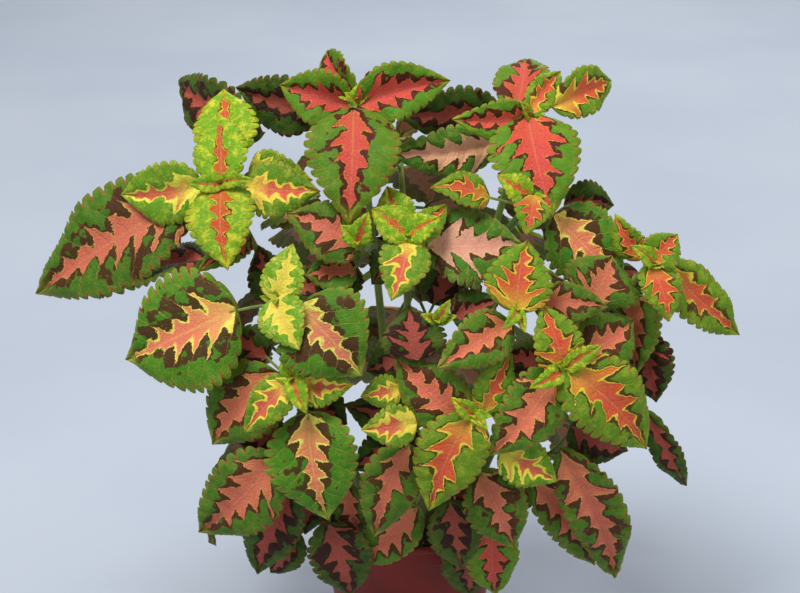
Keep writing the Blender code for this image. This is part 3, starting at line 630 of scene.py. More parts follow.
def stalk_radius(leaf):
    """A stalk's radius where it leaves the stem."""
    return min(STALK_RADIUS, THIN_STALK + leaf.length * STALK_GROWTH)


def samples(leaf):
    """Places spread over a blade, and how far along it each lies."""
    places, steps = [], []
    for u in SAMPLE_STEPS:
        wide = leaf.half_width(min(u, 0.97))
        for part in (-0.85, 0, 0.85):
            places.append(leaf.point(u, part * wide))
            steps.append(u)
    return np.array(places), np.array(steps)


def along_stems(paths):
    """Places every few millimetres along some stems."""
    places = [first.lerp(second, step / 5) for path in paths for first, second in zip(path, path[1:])
              for step in range(5)]
    return np.array(places)


def bend_clear(stems):
    """Ease blades apart that would cross, along the way that both face, and off other stems."""
    leaves = [leaf for _, grown in stems.values() for leaf, _ in grown]
    wood = {name: along_stems([path for other, (paths, _) in stems.items() if other != name
                               for path in paths]) for name in stems}
    owner = [name for name, (_, grown) in stems.items() for _ in grown]
    for _ in range(ROUNDS):
        spread = [samples(leaf) for leaf in leaves]
        middles = np.array([places.mean(axis=0) for places, _ in spread])
        reach = np.array([leaf.length for leaf in leaves]) * 0.6
        pushes = [[Vector(), Vector()] for _ in leaves]
        crossed = 0
        for first in range(len(leaves)):
            away = np.linalg.norm(middles - middles[first], axis=1)
            for second in np.nonzero(away < reach + reach[first])[0]:
                if second <= first:
                    continue
                a, b = leaves[first], leaves[second]
                way = a.normal + b.normal * (1 if a.normal.dot(b.normal) > 0 else -1)
                way = np.array(way.normalized())
                offset = spread[first][0][:, None] - spread[second][0][None, :]
                over = offset @ way
                beside = np.sqrt(np.maximum((offset ** 2).sum(axis=2) - over ** 2, 0))
                close = beside < CLOSE
                if not close.any():
                    continue
                side = 1 if over[close].sum() >= 0 else -1
                lack = np.where(close, CLEAR - side * over, 0)
                worst = np.unravel_index(lack.argmax(), lack.shape)
                if lack[worst] <= 0:
                    continue
                crossed += 1
                push = Vector(way) * float(side * min(lack[worst], CLEAR) * 0.35)
                for number, u, turn in ((first, spread[first][1][worst[0]], 1),
                                        (second, spread[second][1][worst[1]], -1)):
                    pushes[number][0] += push * turn * (1 - u) * 0.6
                    pushes[number][1] += push * turn * (0.3 + 0.7 * u)
        for number, leaf in enumerate(leaves):
            places, steps = spread[number]
            offset = places[:, None] - wood[owner[number]][None, :]
            gap = np.sqrt((offset ** 2).sum(axis=2))
            worst = np.unravel_index(gap.argmin(), gap.shape)
            if gap[worst] < STEM_CLEAR:
                crossed += 1
                side = 1 if offset[worst] @ np.array(leaf.normal) >= 0 else -1
                push = leaf.normal * float(side * (STEM_CLEAR - gap[worst])) * 0.5
                pushes[number][0] += push * (1 - float(steps[worst[0]])) * 0.6
                pushes[number][1] += push
        for leaf, (base_push, tip_push) in zip(leaves, pushes):
            leaf.shift(base_push, tip_push)
        if crossed == 0:
            break


def point_grid(leaf, u, x, lift):
    """Places on a blade for whole arrays of u along and x across, raised from it by lift."""
    along, across, normal = (np.array(axis) for axis in (leaf.along, leaf.across, leaf.normal))
    turn = (leaf.twist * (u - 0.3))[..., None]
    side = across * np.cos(turn) + normal * np.sin(turn)
    top = normal * np.cos(turn) - across * np.sin(turn)
    bow = ((4 * u * (1 - u) * leaf.arch - TIP_DROOP * u ** 4) * leaf.length)[..., None]
    sway = (np.sin(math.pi * u) * leaf.curl * leaf.length)[..., None]
    reach = x[..., None] * math.cos(leaf.fold)
    rise = (np.abs(x) * math.sin(leaf.fold) + lift)[..., None]
    return (np.array(leaf.base) + along * (u * leaf.length)[..., None] + normal * bow + across * sway
            + side * reach + top * rise)


def blade_faces(rows, columns):
    """The faces of an upper and a lower grid of places, joined round their rim, and each face's skin."""
    count = rows * columns
    index = np.arange(count).reshape(rows, columns)
    a, b, c, d = (part.ravel() for part in (index[:-1, :-1], index[1:, :-1], index[1:, 1:], index[:-1, 1:]))
    rim = np.concatenate([index[:, 0], index[-1, 1:], index[-2::-1, -1], index[0, -2:0:-1]])
    after = np.roll(rim, -1)
    faces = np.concatenate([np.stack([a, d, c, b], axis=1), np.stack([a, b, c, d], axis=1) + count,
                            np.stack([rim, after, after + count, rim + count], axis=1)])
    return faces, np.concatenate([np.zeros(len(a)), np.ones(len(a)), np.zeros(len(rim))])


def blade_form(leaf, draw):
    """A scalloped, quilted blade with thickness: its places, faces and the paths that its paint follows."""
    scallops = round(SCALLOPS_LEAST + SCALLOPS_PER_METRE * leaf.length)
    u_line = np.linspace(0, 1, ROWS_PER_SCALLOP * scallops + 1)
    s_line = np.linspace(-1, 1, 2 * HALF_COLUMNS + 1)
    u, s = np.meshgrid(u_line, np.sign(s_line) * np.abs(s_line) ** COLUMN_SPREAD, indexing="ij")
    out = np.abs(s)
    fade = np.clip(u * FOOT_FADE, 0, 1) * np.clip((1 - u) * TIP_FADE, 0, 1)
    edge_phase = u * scallops + np.where(s > 0, 0.0, EDGE_OFFSET)
    lobe = np.sqrt(np.clip(1 - (2 * (edge_phase % 1) ** SCALLOP_LEAN - 1) ** 2, 0, 1))
    wide = LEAST_WIDTH + leaf.half_width(u)
    x = s * wide * (1 + SCALLOP_DEPTH * fade * (lobe - SCALLOP_MIDDLE) * out ** 5)
    vein_phase = (u - VEIN_SLOPE * out * wide / leaf.length) * scallops * VEINS_PER_SCALLOP
    vein_phase = vein_phase + np.where(s > 0, *VEIN_OFFSETS)
    size = leaf.length / LARGE_LEAF
    puff = QUILT * size * (np.sin(math.pi * (vein_phase % 1)) ** 0.7 - 0.5) * np.sin(math.pi * out) * fade
    belly = leaf.width * BELLY * np.sin(math.pi * out)
    wave_phase = 2 * math.pi * (u * WAVES + draw.random()) + (s > 0) * WAVE_OFFSET
    wave = leaf.length * RUFFLE * out ** 3 * np.sin(wave_phase)
    frill = FRILL * size * out ** 6 * np.cos(2 * math.pi * edge_phase) * fade
    gutter = GUTTER * size * np.exp(-(x / GUTTER_WIDTH) ** 2) * fade
    lift = puff + belly + wave + frill
    thick = THICKNESS / 2 * (1 - EDGE_THINNING * out ** 3)
    rib = MIDRIB * size * np.exp(-(x / MIDRIB_WIDTH) ** 2) * (1 - MIDRIB_TAPER * u)
    near_vein = np.minimum(vein_phase % 1, 1 - vein_phase % 1)
    side_rib = SIDE_RIB * size * np.clip(1 - SIDE_RIB_SLIMNESS * near_vein, 0, 1) * (1 - out) * fade
    upper = point_grid(leaf, u, x, lift + thick - gutter)
    lower = point_grid(leaf, u, x, lift - thick - rib - side_rib)
    places = np.concatenate([upper.reshape(-1, 3), lower.reshape(-1, 3)])
    paths = {"along": u, "across": s, "edge_phase": edge_phase, "vein_phase": vein_phase}
    return places, *blade_faces(*u.shape), {name: np.tile(path.ravel(), 2) for name, path in paths.items()}


def leaf_colours(leaf, draw):
    """The colours and sizes of the painted parts of one leaf, a little different on each."""
    look = dict(zip(LOOK_PARTS, LOOKS[leaf.age]))
    bright = draw.uniform(0.88, 1.10)
    for name in ("heart", "rim", "band", "green"):
        shade = [channel * bright * draw.uniform(0.93, 1.07) for channel in linear(look[name])]
        look[name] = (*shade, 1)
    for name, least, most in (("heart_size", 0.82, 1.15), ("band_size", 0.75, 1.25), ("rim_size", 0.7, 1.2)):
        look[name] *= draw.uniform(least, most)
    return look


def placed(name, data):
    """A new object in the scene, at the origin."""
    made = bpy.data.objects.new(name, data)
    bpy.context.scene.collection.objects.link(made)
    return made


def evaluated_mesh(made):
    """A plain mesh of an object as its modifiers make it."""
    bpy.context.view_layer.update()
    return bpy.data.meshes.new_from_object(made.evaluated_get(bpy.context.evaluated_depsgraph_get()))


def leaf_piece(name, leaves, skins, draw):
    """All blades of one stem in one mesh, with the attributes that the leaf paint reads."""
    places, faces, sides, facts = [], [], [], {}
    start = 0
    for leaf in leaves:
        points, quads, side, paths = blade_form(leaf, draw)
        places.append(points)
        faces.append(quads + start)
        sides.append(side)
        start += len(points)
        for fact, values in paths.items():
            facts.setdefault(fact, []).append(values)
        for fact, value in leaf_colours(leaf, draw).items():
            facts.setdefault(fact, []).append(np.tile(np.array(value, dtype=float), (len(points), 1)))
    mesh = bpy.data.meshes.new(name)
    mesh.from_pydata(np.concatenate(places).tolist(), [], np.concatenate(faces).tolist())
    for fact, values in facts.items():
        values = np.concatenate(values)
        kind = "FLOAT_COLOR" if values.ndim == 2 and values.shape[1] == 4 else "FLOAT"
        layer = mesh.attributes.new(fact, kind, "POINT")
        layer.data.foreach_set("color" if kind == "FLOAT_COLOR" else "value", values.ravel())
    mesh.polygons.foreach_set("material_index", np.concatenate(sides).astype(int))
    mesh.shade_smooth()
    for skin in skins:
        mesh.materials.append(skin)
    return placed(name, mesh)


def linear(colour):
    """A colour read off a screen, as the linear values that a shader takes."""
    return [((part / 255 + 0.055) / 1.055) ** 2.4 if part > 10 else part / 255 / 12.92 for part in colour]


def solid_colour(colour):
    return (*linear(colour), 1)


class Wire:
    """An output of a node: arithmetic on it adds math nodes to its tree."""

    def __init__(self, graph, socket):
        self.graph, self.socket = graph, socket

    def __add__(self, other):
        return self.graph.math("ADD", self, other)

    def __sub__(self, other):
        return self.graph.math("SUBTRACT", self, other)

    def __rsub__(self, other):
        return self.graph.math("SUBTRACT", other, self)

    def __mul__(self, other):
        return self.graph.math("MULTIPLY", self, other)

    def __pow__(self, power):
        return self.graph.math("POWER", self, power)

    def __abs__(self):
        return self.graph.math("ABSOLUTE", self)


class Graph:
    """Short ways to write a node tree."""

    def __init__(self, tree):
        self.tree = tree

    def feed(self, node, values):
        """Give a node's inputs, by name or number, their wires or plain values."""
        for key, value in values.items():
            if isinstance(value, Wire):
                self.tree.links.new(value.socket, node.inputs[key])
            else:
                node.inputs[key].default_value = value

    def node(self, kind, values, **settings):
        made = self.tree.nodes.new(kind)
        for name, value in settings.items():
            setattr(made, name, value)
        self.feed(made, values)
        return made

    def outputs(self, node):
        return {socket.name: Wire(self, socket) for socket in node.outputs}

    def wire(self, kind, values, output=0, **settings):
        """One output of a new node."""
        return Wire(self, self.node(kind, values, **settings).outputs[output])

    def math(self, operation, *values, clamp=False):
        return self.wire("ShaderNodeMath", dict(enumerate(values)), operation=operation, use_clamp=clamp)

    def step(self, value, low, high):
        """Rises smoothly from 0 at low to 1 at high."""
        return self.wire("ShaderNodeMapRange", {0: value, 1: low, 2: high}, interpolation_type="SMOOTHSTEP")

    def mix(self, amount, first, second):
        return self.wire("ShaderNodeMix", {0: amount, 6: first, 7: second}, 2, data_type="RGBA")

    def noise(self, place, scale, detail):
        return self.wire("ShaderNodeTexNoise", {"Vector": place, "Scale": scale, "Detail": detail})

    def place(self):
        return self.wire("ShaderNodeTexCoord", {}, "Object")

    def bump(self, height, strength, depth):
        return self.wire("ShaderNodeBump", {"Height": height, "Strength": strength, "Distance": depth})


def new_tree(name, kind, inputs, outputs):
    """A node tree with named sockets: its graph, the wires of its inputs and its output node."""
    tree = bpy.data.node_groups.new(name, kind)
    for side, sockets in (("INPUT", inputs), ("OUTPUT", outputs)):
        for socket, sort in sockets.items():
            tree.interface.new_socket(socket, in_out=side, socket_type="NodeSocket" + sort)
    g = Graph(tree)
    return g, g.outputs(g.node("NodeGroupInput", {})), g.node("NodeGroupOutput", {})


def leaf_paint_group():
    """The coleus pattern: a feathered heart, pale rim, dark band, green margin, and a dot at each notch."""
    inputs = {name: "Float" for name in PAINT_VALUES} | {name: "Color" for name in PAINT_COLOURS}
    g, take, made = new_tree("leaf_paint", "ShaderNodeTree", inputs | {"Place": "Vector"},
                             {"Colour": "Color", "Roughness": "Float", "Height": "Float"})
    u, out = take["Along"], abs(take["Across"])
    heart_size, band_size, rim_size = take["Heart Size"], take["Band Size"], take["Rim Size"]
    patch = g.noise(take["Place"], PATCH_SCALE, 1) - 0.5
    blot = g.noise(take["Place"], BLOT_SCALE, 3) - 0.5
    speck = g.noise(take["Place"], SPECK_SCALE, 3) - 0.5
    # the side veins, and the heart's lobe along each, of a length drawn for each vein of each leaf
    phase = blot * 0.5 + take["Vein Phase"]
    on_vein = abs(g.math("FRACT", phase) * 2 - 1)
    vein_number = g.math("ROUND", phase) + g.math("SIGN", take["Across"]) * 61
    leaf_number = g.math("FLOOR", heart_size * 5000)
    chance = g.wire("ShaderNodeTexWhiteNoise", {"W": vein_number + leaf_number}, noise_dimensions="1D")
    lobe = on_vein ** 1.5 * (chance + 0.45)
    # how far out the heart reaches, and the rim and the band round it
    reach = heart_size * g.step(u, -0.03, 0.10) * g.math("SUBTRACT", 1.03, u, clamp=True) ** 0.75
    reach = reach * (lobe * 0.95 + 0.34) * (patch * 1.8 + 1)
    inside = (reach + blot * 0.26 + speck * 0.10) * (1 - g.step(u, 0.90, 0.99)) - out
    heart = g.step(inside, -0.03, 0.03)
    rim_wide = rim_size * (1.9 - g.step(u, 0.02, 0.5) * 1.1) * (patch * 2.2 + 1)
    rim = g.step(inside + speck * 0.08 + rim_wide, -0.02, 0.02)
    band_wide = band_size * (1.4 - lobe * 0.8) * (blot * 3.4 + 1) + patch * band_size * 4
    point = g.step(u, 0.84, 0.97)
    band = g.step(inside + band_wide + rim_wide, -0.03, 0.04) * g.step(band_size, 0.01, 0.05) * (1 - point)
    # the green margin, lighter in clouds, spots, along its hem and at the tip
    cloud = g.math("MULTIPLY_ADD", blot, 0.9, 0.22, clamp=True)
    green = g.mix(cloud, take["Green"], g.mix(0.45, take["Green"], LIME_CLOUD))
    spot = g.step(blot * 1.6 + speck * 1.2, -0.12, 0.28) * (1 - on_vein * 0.6)
    green = g.mix(spot * take["Mottle"], green, take["Rim"])
    green = g.mix(g.step(out, 0.82, 1.0) * 0.30, green, g.mix(0.5, take["Green"], take["Rim"]))
    green = g.mix(point * 0.3, green, take["Rim"])
    shade = g.mix(rim, g.mix(band, green, take["Band"]), take["Rim"])
    # the heart, redder along its middle and paler at its foot
    flush = g.mix(0.25, take["Heart"], take["Rim"])
    flush = g.mix(g.math("ADD", speck, 0.3, clamp=True), take["Heart"], flush)
    flush = g.mix((1 - g.step(out, 0.0, 0.30)) * 0.35, flush, g.mix(0.6, take["Heart"], CRIMSON_MIDDLE))
    glow = (1 - g.step(u, 0.0, 0.42)) * rim_size
    flush = g.mix(g.math("MULTIPLY", glow, 7, clamp=True), flush, take["Rim"])
    shade = g.mix(heart, shade, flush)
    # pale veins, a dark dot at each notch and a fine dark net over all
    vein_line = g.step(on_vein, 0.90, 0.99) * (1 - g.step(out, 0.7, 0.98))
    pale = g.mix(0.5, take["Rim"], take["Heart"])
    shade = g.mix(vein_line * 0.22, shade, pale)
    shade = g.mix((1 - g.step(out, 0.010, 0.035)) * (0.65 - u * 0.5), shade, pale)
    notch = abs(g.math("FRACT", take["Edge Phase"] + 0.5) - 0.5)
    dot = (1 - g.step(notch, 0.05, 0.15)) * g.step(out, 0.82, 0.93)
    shade = g.mix(dot * 0.8, shade, NOTCH_DOT)
    cells = g.wire("ShaderNodeTexVoronoi", {"Vector": take["Place"], "Scale": NET_SCALE}, "Distance",
                   feature="DISTANCE_TO_EDGE")
    net = 1 - g.step(cells, 0.0, 0.16)
    shade = g.mix(net * 0.14, shade, g.mix(0.5, shade, NET_SHADE))
    height = net * -0.5 + vein_line * -0.9 + speck * 0.8
    g.feed(made, {"Colour": shade, "Roughness": speck * 0.25 + 0.58, "Height": height})
    return g.tree


def bare_material(name):
    made = bpy.data.materials.new(name)
    made.use_nodes = True
    return made, Graph(made.node_tree), made.node_tree.nodes["Principled BSDF"]


def leaf_material(name, pattern, underside):
    """One side of the blades: the painted pattern, which is duller on the underside."""
    made, g, shader = bare_material(name)
    facts = {"Place": g.place()}
    for names, output in ((PAINT_VALUES, "Fac"), (PAINT_COLOURS, "Color")):
        for fact in names:
            facts[fact] = g.wire("ShaderNodeAttribute", {}, output,
                                 attribute_name=fact.lower().replace(" ", "_"))
    paint = g.outputs(g.node("ShaderNodeGroup", facts, node_tree=pattern))
    colour = g.mix(0.42, paint["Colour"], UNDERSIDE) if underside else paint["Colour"]
    g.feed(shader, {"Base Color": colour, "Roughness": paint["Roughness"], "Specular IOR Level": 0.2,
                    "Subsurface Weight": 0.12, "Subsurface Radius": (1.0, 0.9, 0.3),
                    "Subsurface Scale": 1.2 * MM, "Normal": g.bump(paint["Height"], 0.55, 0.6 * MM)})
    return made


def unevenness_group():
    """Slow and fine unevenness that every dull surface shares."""
    g, given, made = new_tree("unevenness", "ShaderNodeTree",
                              {"Place": "Vector", "Broad": "Float", "Fine": "Float"},
                              {"Patch": "Float", "Grain": "Float"})
    g.feed(made, {"Patch": g.noise(given["Place"], given["Broad"], 4),
                  "Grain": g.noise(given["Place"], given["Fine"], 4)})
    return g.tree


def unevenness(g, broad, fine):
    group = bpy.data.node_groups.get("unevenness") or unevenness_group()
    scales = {"Place": g.place(), "Broad": broad, "Fine": fine}
    noise = g.outputs(g.node("ShaderNodeGroup", scales, node_tree=group))
    return noise["Patch"], noise["Grain"]


def plain_material(name):
    """A dull surface whose colour wanders between two, with a fine grain in its relief."""
    light, dark, broad, fine, rough, relief, specular = SURFACES[name]
    made, g, shader = bare_material(name)
    patch, grain = unevenness(g, broad, fine)
    blend = g.math("ADD", g.step(patch, 0.3, 0.7), grain * 0.6 - 0.3, clamp=True)
    g.feed(shader, {"Base Color": g.mix(blend, solid_colour(dark), solid_colour(light)),
                    "Roughness": grain * 0.25 + (rough - 0.12), "Specular IOR Level": specular,
                    "Normal": g.bump(grain, 0.5, relief)})
    return made


def stem_material():
    """Square stems: green, flushed with purple brown on their lower parts."""
    made, g, shader = bare_material("stem_skin")
    patch, grain = unevenness(g, 60, 900)
    height = g.wire("ShaderNodeSeparateXYZ", {0: g.place()}, "Z")
    age = 1 - g.step(height, SOIL_TOP, SOIL_TOP + WOODY_HEIGHT)
    fresh, aged = ([solid_colour(colour) for colour in pair] for pair in (YOUNG_STEM, OLD_STEM))
    young = g.mix(g.step(patch, 0.35, 0.65), *fresh)
    old = g.mix(g.step(grain, 0.35, 0.65), *aged)
    g.feed(shader, {"Base Color": g.mix(age * 0.8, young, old), "Roughness": grain * 0.2 + 0.42,
                    "Normal": g.bump(grain, 0.4, 0.3 * MM)})
    return made


def shape_tree(name, inputs):
    """A geometry tree with a mesh or curve in, named sizes, a material, and a mesh out."""
    return new_tree(name, "GeometryNodeTree", {"Geometry": "Geometry"} | inputs | {"Material": "Material"},
                    {"Geometry": "Geometry"})


def finish_tree(g, shape, given, made):
    """Every tree ends by making its copies real and giving them their material."""
    real = g.wire("GeometryNodeRealizeInstances", {0: shape})
    coat = {"Geometry": real, "Material": given["Material"]}
    g.feed(made, {0: g.wire("GeometryNodeSetMaterial", coat)})
    return g.tree


def stem_tree():
    """A tree that gives curves a rounded square section, as coleus stems have."""
    g, given, made = shape_tree("square_stems", {"Spacing": "Float", "Corner": "Float"})
    flow = g.wire("GeometryNodeCurveSplineType", {"Curve": given["Geometry"]}, spline_type="CATMULL_ROM")
    even = g.wire("GeometryNodeResampleCurve", {"Curve": flow, "Length": given["Spacing"]}, mode="LENGTH")
    square = g.wire("GeometryNodeCurvePrimitiveQuadrilateral", {"Width": STEM_SQUARE, "Height": STEM_SQUARE})
    section = g.wire("GeometryNodeFilletCurve", {"Curve": square, "Radius": given["Corner"], "Count": 3},
                     mode="POLY")
    radius = g.wire("GeometryNodeInputRadius", {})
    skin = g.wire("GeometryNodeCurveToMesh", {"Curve": even, "Profile Curve": section, "Scale": radius,
                                              "Fill Caps": True})
    return finish_tree(g, g.wire("GeometryNodeSetShadeSmooth", {0: skin}), given, made)


def crumb_tree():
    """A tree that scatters lumps over the upward faces of a mesh."""
    g, given, made = shape_tree("scattered_lumps", {"Per Area": "Float", "Least": "Float", "Most": "Float",
                                                    "Seed": "Int"})
    normal = g.wire("GeometryNodeInputNormal", {})
    rise = g.wire("ShaderNodeSeparateXYZ", {0: normal}, "Z")
    upward = g.wire("FunctionNodeCompare", {"A": rise, "B": 0.6}, operation="GREATER_THAN")
    spread = g.wire("GeometryNodeDistributePointsOnFaces", {
        "Mesh": given["Geometry"], "Selection": upward, "Density": given["Per Area"], "Seed": given["Seed"]})
    lump = g.wire("GeometryNodeMeshIcoSphere", {"Radius": 0.5, "Subdivisions": 1})
    size = g.wire("FunctionNodeRandomValue", {2: given["Least"], 3: given["Most"], "Seed": given["Seed"]}, 1,
                  data_type="FLOAT")
    squash = g.wire("FunctionNodeRandomValue", {0: (0.6, 0.5, 0.4), 1: (1.3, 1.1, 0.8)},
                    data_type="FLOAT_VECTOR")
    scale = g.wire("ShaderNodeVectorMath", {0: squash, "Scale": size}, operation="SCALE")
    turn = g.wire("FunctionNodeRandomValue", {1: (math.tau, math.tau, math.tau)}, data_type="FLOAT_VECTOR")
    lumps = g.wire("GeometryNodeInstanceOnPoints", {"Points": spread, "Instance": lump, "Rotation": turn,
                                                    "Scale": scale})
    return finish_tree(g, lumps, given, made)


def grown(base, tree, name, **sizes):
    """The mesh that a geometry tree makes from an object, as an object of its own."""
    modifier = base.modifiers.new("made", "NODES")
    modifier.node_group = tree
    for item in tree.interface.items_tree:
        key = item.name.lower().replace(" ", "_")
        if item.in_out == "INPUT" and key in sizes:
            modifier[item.identifier] = sizes[key]
    mesh = evaluated_mesh(base)
    base.modifiers.remove(modifier)
    return placed(name, mesh)


def stem_piece(name, paths, leaves, tree, skin):
    """The stem, shoots and stalks of one plant as curves, made square by the tree."""
    curve = bpy.data.curves.new(name + "_lines", "CURVE")
    curve.dimensions = "3D"
    lines = [(path, FOOT_RADIUS * (SHOOT_SHARE if number else 1), SHOOT_RADIUS)
             for number, path in enumerate(paths)]
    lines += [(stalk_path(leaf, path), stalk_radius(leaf), STALK_END)
              for leaf, path in leaves if not leaf.seated]
    for path, foot, end in lines:
        spline = curve.splines.new("POLY")
        spline.points.add(len(path) - 1)
        for step, point in enumerate(path):
            spline.points[step].co = (*point, 1)
            spline.points[step].radius = foot + (end - foot) * step / (len(path) - 1)
    lined = placed(name + "_lines", curve)
    made = grown(lined, tree, name, spacing=STEM_SPACING, corner=STEM_CORNER, material=skin)
    bpy.data.objects.remove(lined)
    return made


def bud_leaves(paths, draw):
    """The smallest leaves, folded up round each growing tip."""
    buds = []
    for path in paths:
        tip = path[-1]
        heading = (path[-1] - path[-2]).normalized()
        level = heading.cross(RIGHT).normalized()
        for pair in range(BUD_PAIRS):
            for half in range(2):
                spin = pair * math.pi / 2 + half * math.pi + draw.uniform(-0.2, 0.2)
                side = Quaternion(heading, spin) @ level
                size = BUD_LENGTH * (0.6 + 0.5 * pair) * draw.uniform(0.85, 1.15)
                lean = (side * (0.5 + 0.5 * pair) + heading).normalized()
                base = tip - heading * (1 + 3 * pair) * MM + side * 0.6 * MM
                facing = heading - side * 0.5
                buds.append(Leaf(base, base + lean * size, facing, size * 0.5, BUD_FOLD, YOUNG, draw))
    return buds


def revolved(name, profile, turns, material):
    """A turned piece from (radius, height) pairs that start and end on the axis."""
    mesh = bpy.data.meshes.new(name)
    points = [(radius, 0, height) for radius, height in profile]
    mesh.from_pydata(points, [(step, step + 1) for step in range(len(points) - 1)], [])
    made = placed(name, mesh)
    screw = made.modifiers.new("turned", "SCREW")
    screw.axis = "Z"
    screw.steps = screw.render_steps = turns
    screw.use_merge_vertices = True
    screw.merge_threshold = 0.01 * MM
    solid = evaluated_mesh(made)
    made.modifiers.clear()
    made.data = solid
    solid.materials.append(material)
    solid.shade_smooth()
    return made


def rounded(profile, radius):
    """A profile with each inner corner turned into a short arc."""
    points = [Vector(profile[0])]
    for trio in zip(profile, profile[1:], profile[2:]):
        before, corner, after = (Vector(point) for point in trio)
        reach = min(radius, (before - corner).length * 0.45, (after - corner).length * 0.45)
        start = corner + (before - corner).normalized() * reach
        end = corner + (after - corner).normalized() * reach
        for t in (0, 0.25, 0.5, 0.75, 1):
            points.append(start * (1 - t) ** 2 + corner * 2 * t * (1 - t) + end * t ** 2)
    points.append(Vector(profile[-1]))
    return [tuple(point) for point in points]


def wall_radius(height):
    """The pot's outer radius below its rim band."""
    shoulder = POT_HEIGHT - RIM_BAND
    return BASE_RADIUS + (RIM_RADIUS - SHOULDER_STEP - BASE_RADIUS) * height / shoulder


def drain_holes(made):
    """Cut the ring of drainage holes through the pot's floor."""
    cutters = bpy.data.collections.new("drain_cutters")
    bpy.context.scene.collection.children.link(cutters)
    for number in range(DRAIN_HOLES):
        angle = math.tau * number / DRAIN_HOLES
        place = (DRAIN_CIRCLE * math.cos(angle), DRAIN_CIRCLE * math.sin(angle), 0)
        bpy.ops.mesh.primitive_cylinder_add(vertices=DRAIN_SIDES, radius=DRAIN_RADIUS, depth=4 * FLOOR,
                                            location=place)
        cutter = bpy.context.object
        for owner in list(cutter.users_collection):
            owner.objects.unlink(cutter)
        cutters.objects.link(cutter)
    holes = made.modifiers.new("holes", "BOOLEAN")
    holes.operation = "DIFFERENCE"
    holes.operand_type = "COLLECTION"
    holes.collection = cutters
    mesh = evaluated_mesh(made)
    made.modifiers.clear()
    made.data = mesh
    for cutter in list(cutters.objects):
        bpy.data.objects.remove(cutter)
    bpy.data.collections.remove(cutters)


def pot_piece():
    """A thin plastic pot with a rolled rim, a band under it and drainage holes."""
    shoulder = POT_HEIGHT - RIM_BAND
    lip_under = POT_HEIGHT - RIM_LIP
    band = wall_radius(shoulder) + 1.6 * MM
    rim_wall = RIM_RADIUS - RIM_LIP
    ease = 0.8 * MM
    profile = [
        (0, FLOOR), (wall_radius(FLOOR) - WALL, FLOOR), (wall_radius(shoulder) - WALL, shoulder),
        (rim_wall - ease, shoulder + 3 * MM), (rim_wall, POT_HEIGHT), (RIM_RADIUS, POT_HEIGHT),
        (RIM_RADIUS, lip_under), (band, lip_under - ease), (band, shoulder),
        (wall_radius(shoulder), shoulder - ease), (BASE_RADIUS, 0), (0, 0),
    ]
    # the pot's skin: terracotta red darkened with painted shade
    skin = plain_material("terracotta_plastic")
    made = revolved("pot_shell", rounded(profile, CORNER_RADIUS), POT_TURNS, skin)
    drain_holes(made)
    made.data.materials.clear()
    made.data.materials.append(skin)
    made.data.set_sharp_from_angle(angle=math.radians(50))
    return made


def soil_pieces():
    """The bed of soil, and the crumbs and white perlite on it."""
    edge = wall_radius(SOIL_TOP) - WALL - GAP
    foot = wall_radius(FLOOR) - WALL - GAP
    rings = [edge * ring / FINE_RINGS for ring in range(FINE_RINGS + 1)]
    profile = [(radius, SOIL_TOP) for radius in rings] + [(foot, FLOOR + GAP), (0, FLOOR + GAP)]
    earth = plain_material("potting_soil")
    bed = revolved("soil_bed", profile, SOIL_TURNS, earth)
    for vertex in bed.data.vertices:
        place = vertex.co
        if place.z > SOIL_TOP / 2 and math.hypot(place.x, place.y) < edge * 0.97:
            place.z += SOIL_BUMP * math.sin(place.x * 260 + 1.3) * math.cos(place.y * 210 - 0.6)
            place.z += SOIL_BUMP * 0.6 * math.sin(place.x * 95 - place.y * 130)
            place.z += SOIL_RELIEF * math.sin(place.x * 900 + 3 * math.sin(place.y * 700)) * 0.5
    lumps = crumb_tree()
    crumbs = grown(bed, lumps, "soil_crumbs", per_area=CRUMBS_PER_AREA, least=1.0 * MM, most=3.2 * MM,
                   seed=4, material=earth)
    perlite = grown(bed, lumps, "soil_perlite", per_area=PERLITE_PER_AREA, least=1.4 * MM, most=3.0 * MM,
                    seed=9, material=plain_material("perlite"))
    return bed, crumbs, perlite


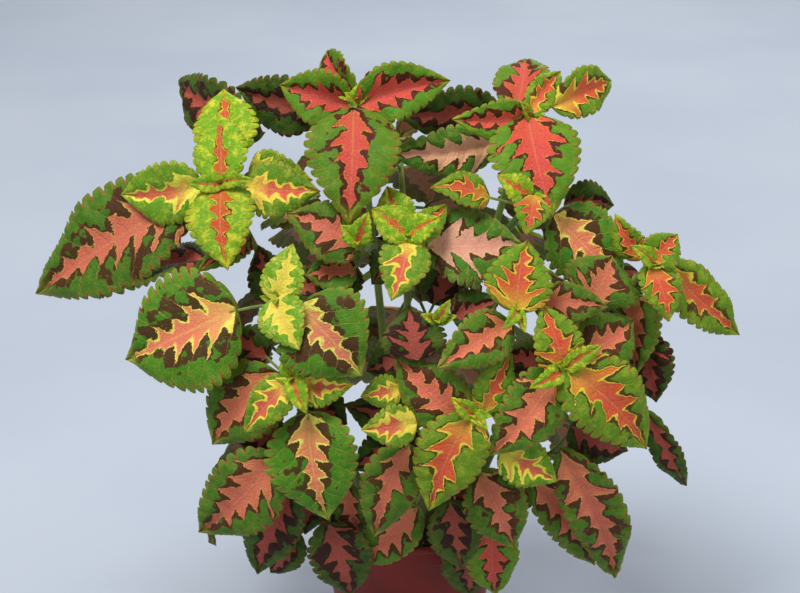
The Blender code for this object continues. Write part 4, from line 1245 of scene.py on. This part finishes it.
def stage():
    """A plain pale floor, and soft light from the upper left, the right and the back."""
    bpy.ops.mesh.primitive_plane_add(size=FLOOR_SIZE, location=(0, 0, 0))
    floor = bpy.context.object
    floor.name = "floor"
    floor.data.materials.append(plain_material("pale_floor"))
    world = bpy.data.worlds.new("soft_daylight")
    world.use_nodes = True
    sky = world.node_tree.nodes["Background"]
    sky.inputs[0].default_value = SKY_COLOUR
    sky.inputs[1].default_value = SKY_LIGHT
    bpy.context.scene.world = world
    for name, place, size, power in LIGHTS:
        lamp = bpy.data.lights.new(name, "AREA")
        lamp.size = size
        lamp.energy = power
        holder = placed(name, lamp)
        holder.location = place
        way = Vector(LIGHT_AIM) - Vector(place)
        holder.rotation_euler = way.to_track_quat("-Z", "Y").to_euler()


def camera():
    """The photograph's viewing angle: from the front, looking down a little."""
    lens = bpy.data.cameras.new("camera")
    lens.sensor_width = SENSOR_WIDTH
    lens.lens = lens.sensor_width * VIEW_DISTANCE / PICTURE_WIDTH
    made = placed("camera", lens)
    aim = RIM_CENTRE + RIGHT * VIEW_AIM_RIGHT + UP * VIEW_AIM_UP
    made.location = aim + NEAR * VIEW_DISTANCE
    made.rotation_euler = Matrix((RIGHT, UP, NEAR)).transposed().to_euler()
    bpy.context.scene.camera = made


def main():
    bpy.context.scene.view_settings.view_transform = "Standard"
    camera()
    stage()
    tree, bark, pattern = stem_tree(), stem_material(), leaf_paint_group()
    skins = [leaf_material("leaf_face", pattern, False), leaf_material("leaf_underside", pattern, True)]
    for number, (name, (paths, leaves)) in enumerate(plant().items()):
        draw = random.Random(PAINT_SEED + number)
        blades_and_buds = [leaf for leaf, _ in leaves] + bud_leaves(paths, draw)
        blades = leaf_piece(name + "_blades", blades_and_buds, skins, draw)
        stalks = stem_piece(name + "_stalks", paths, leaves, tree, bark)
        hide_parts(name)
        for piece in (blades, stalks):
            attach(piece, "root")
    shell = pot_piece()
    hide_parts("pot")
    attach(shell, "root")
    bed, crumbs, perlite = soil_pieces()
    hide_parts("soil")
    for piece in (bed, crumbs, perlite):
        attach(piece, "root")


main()
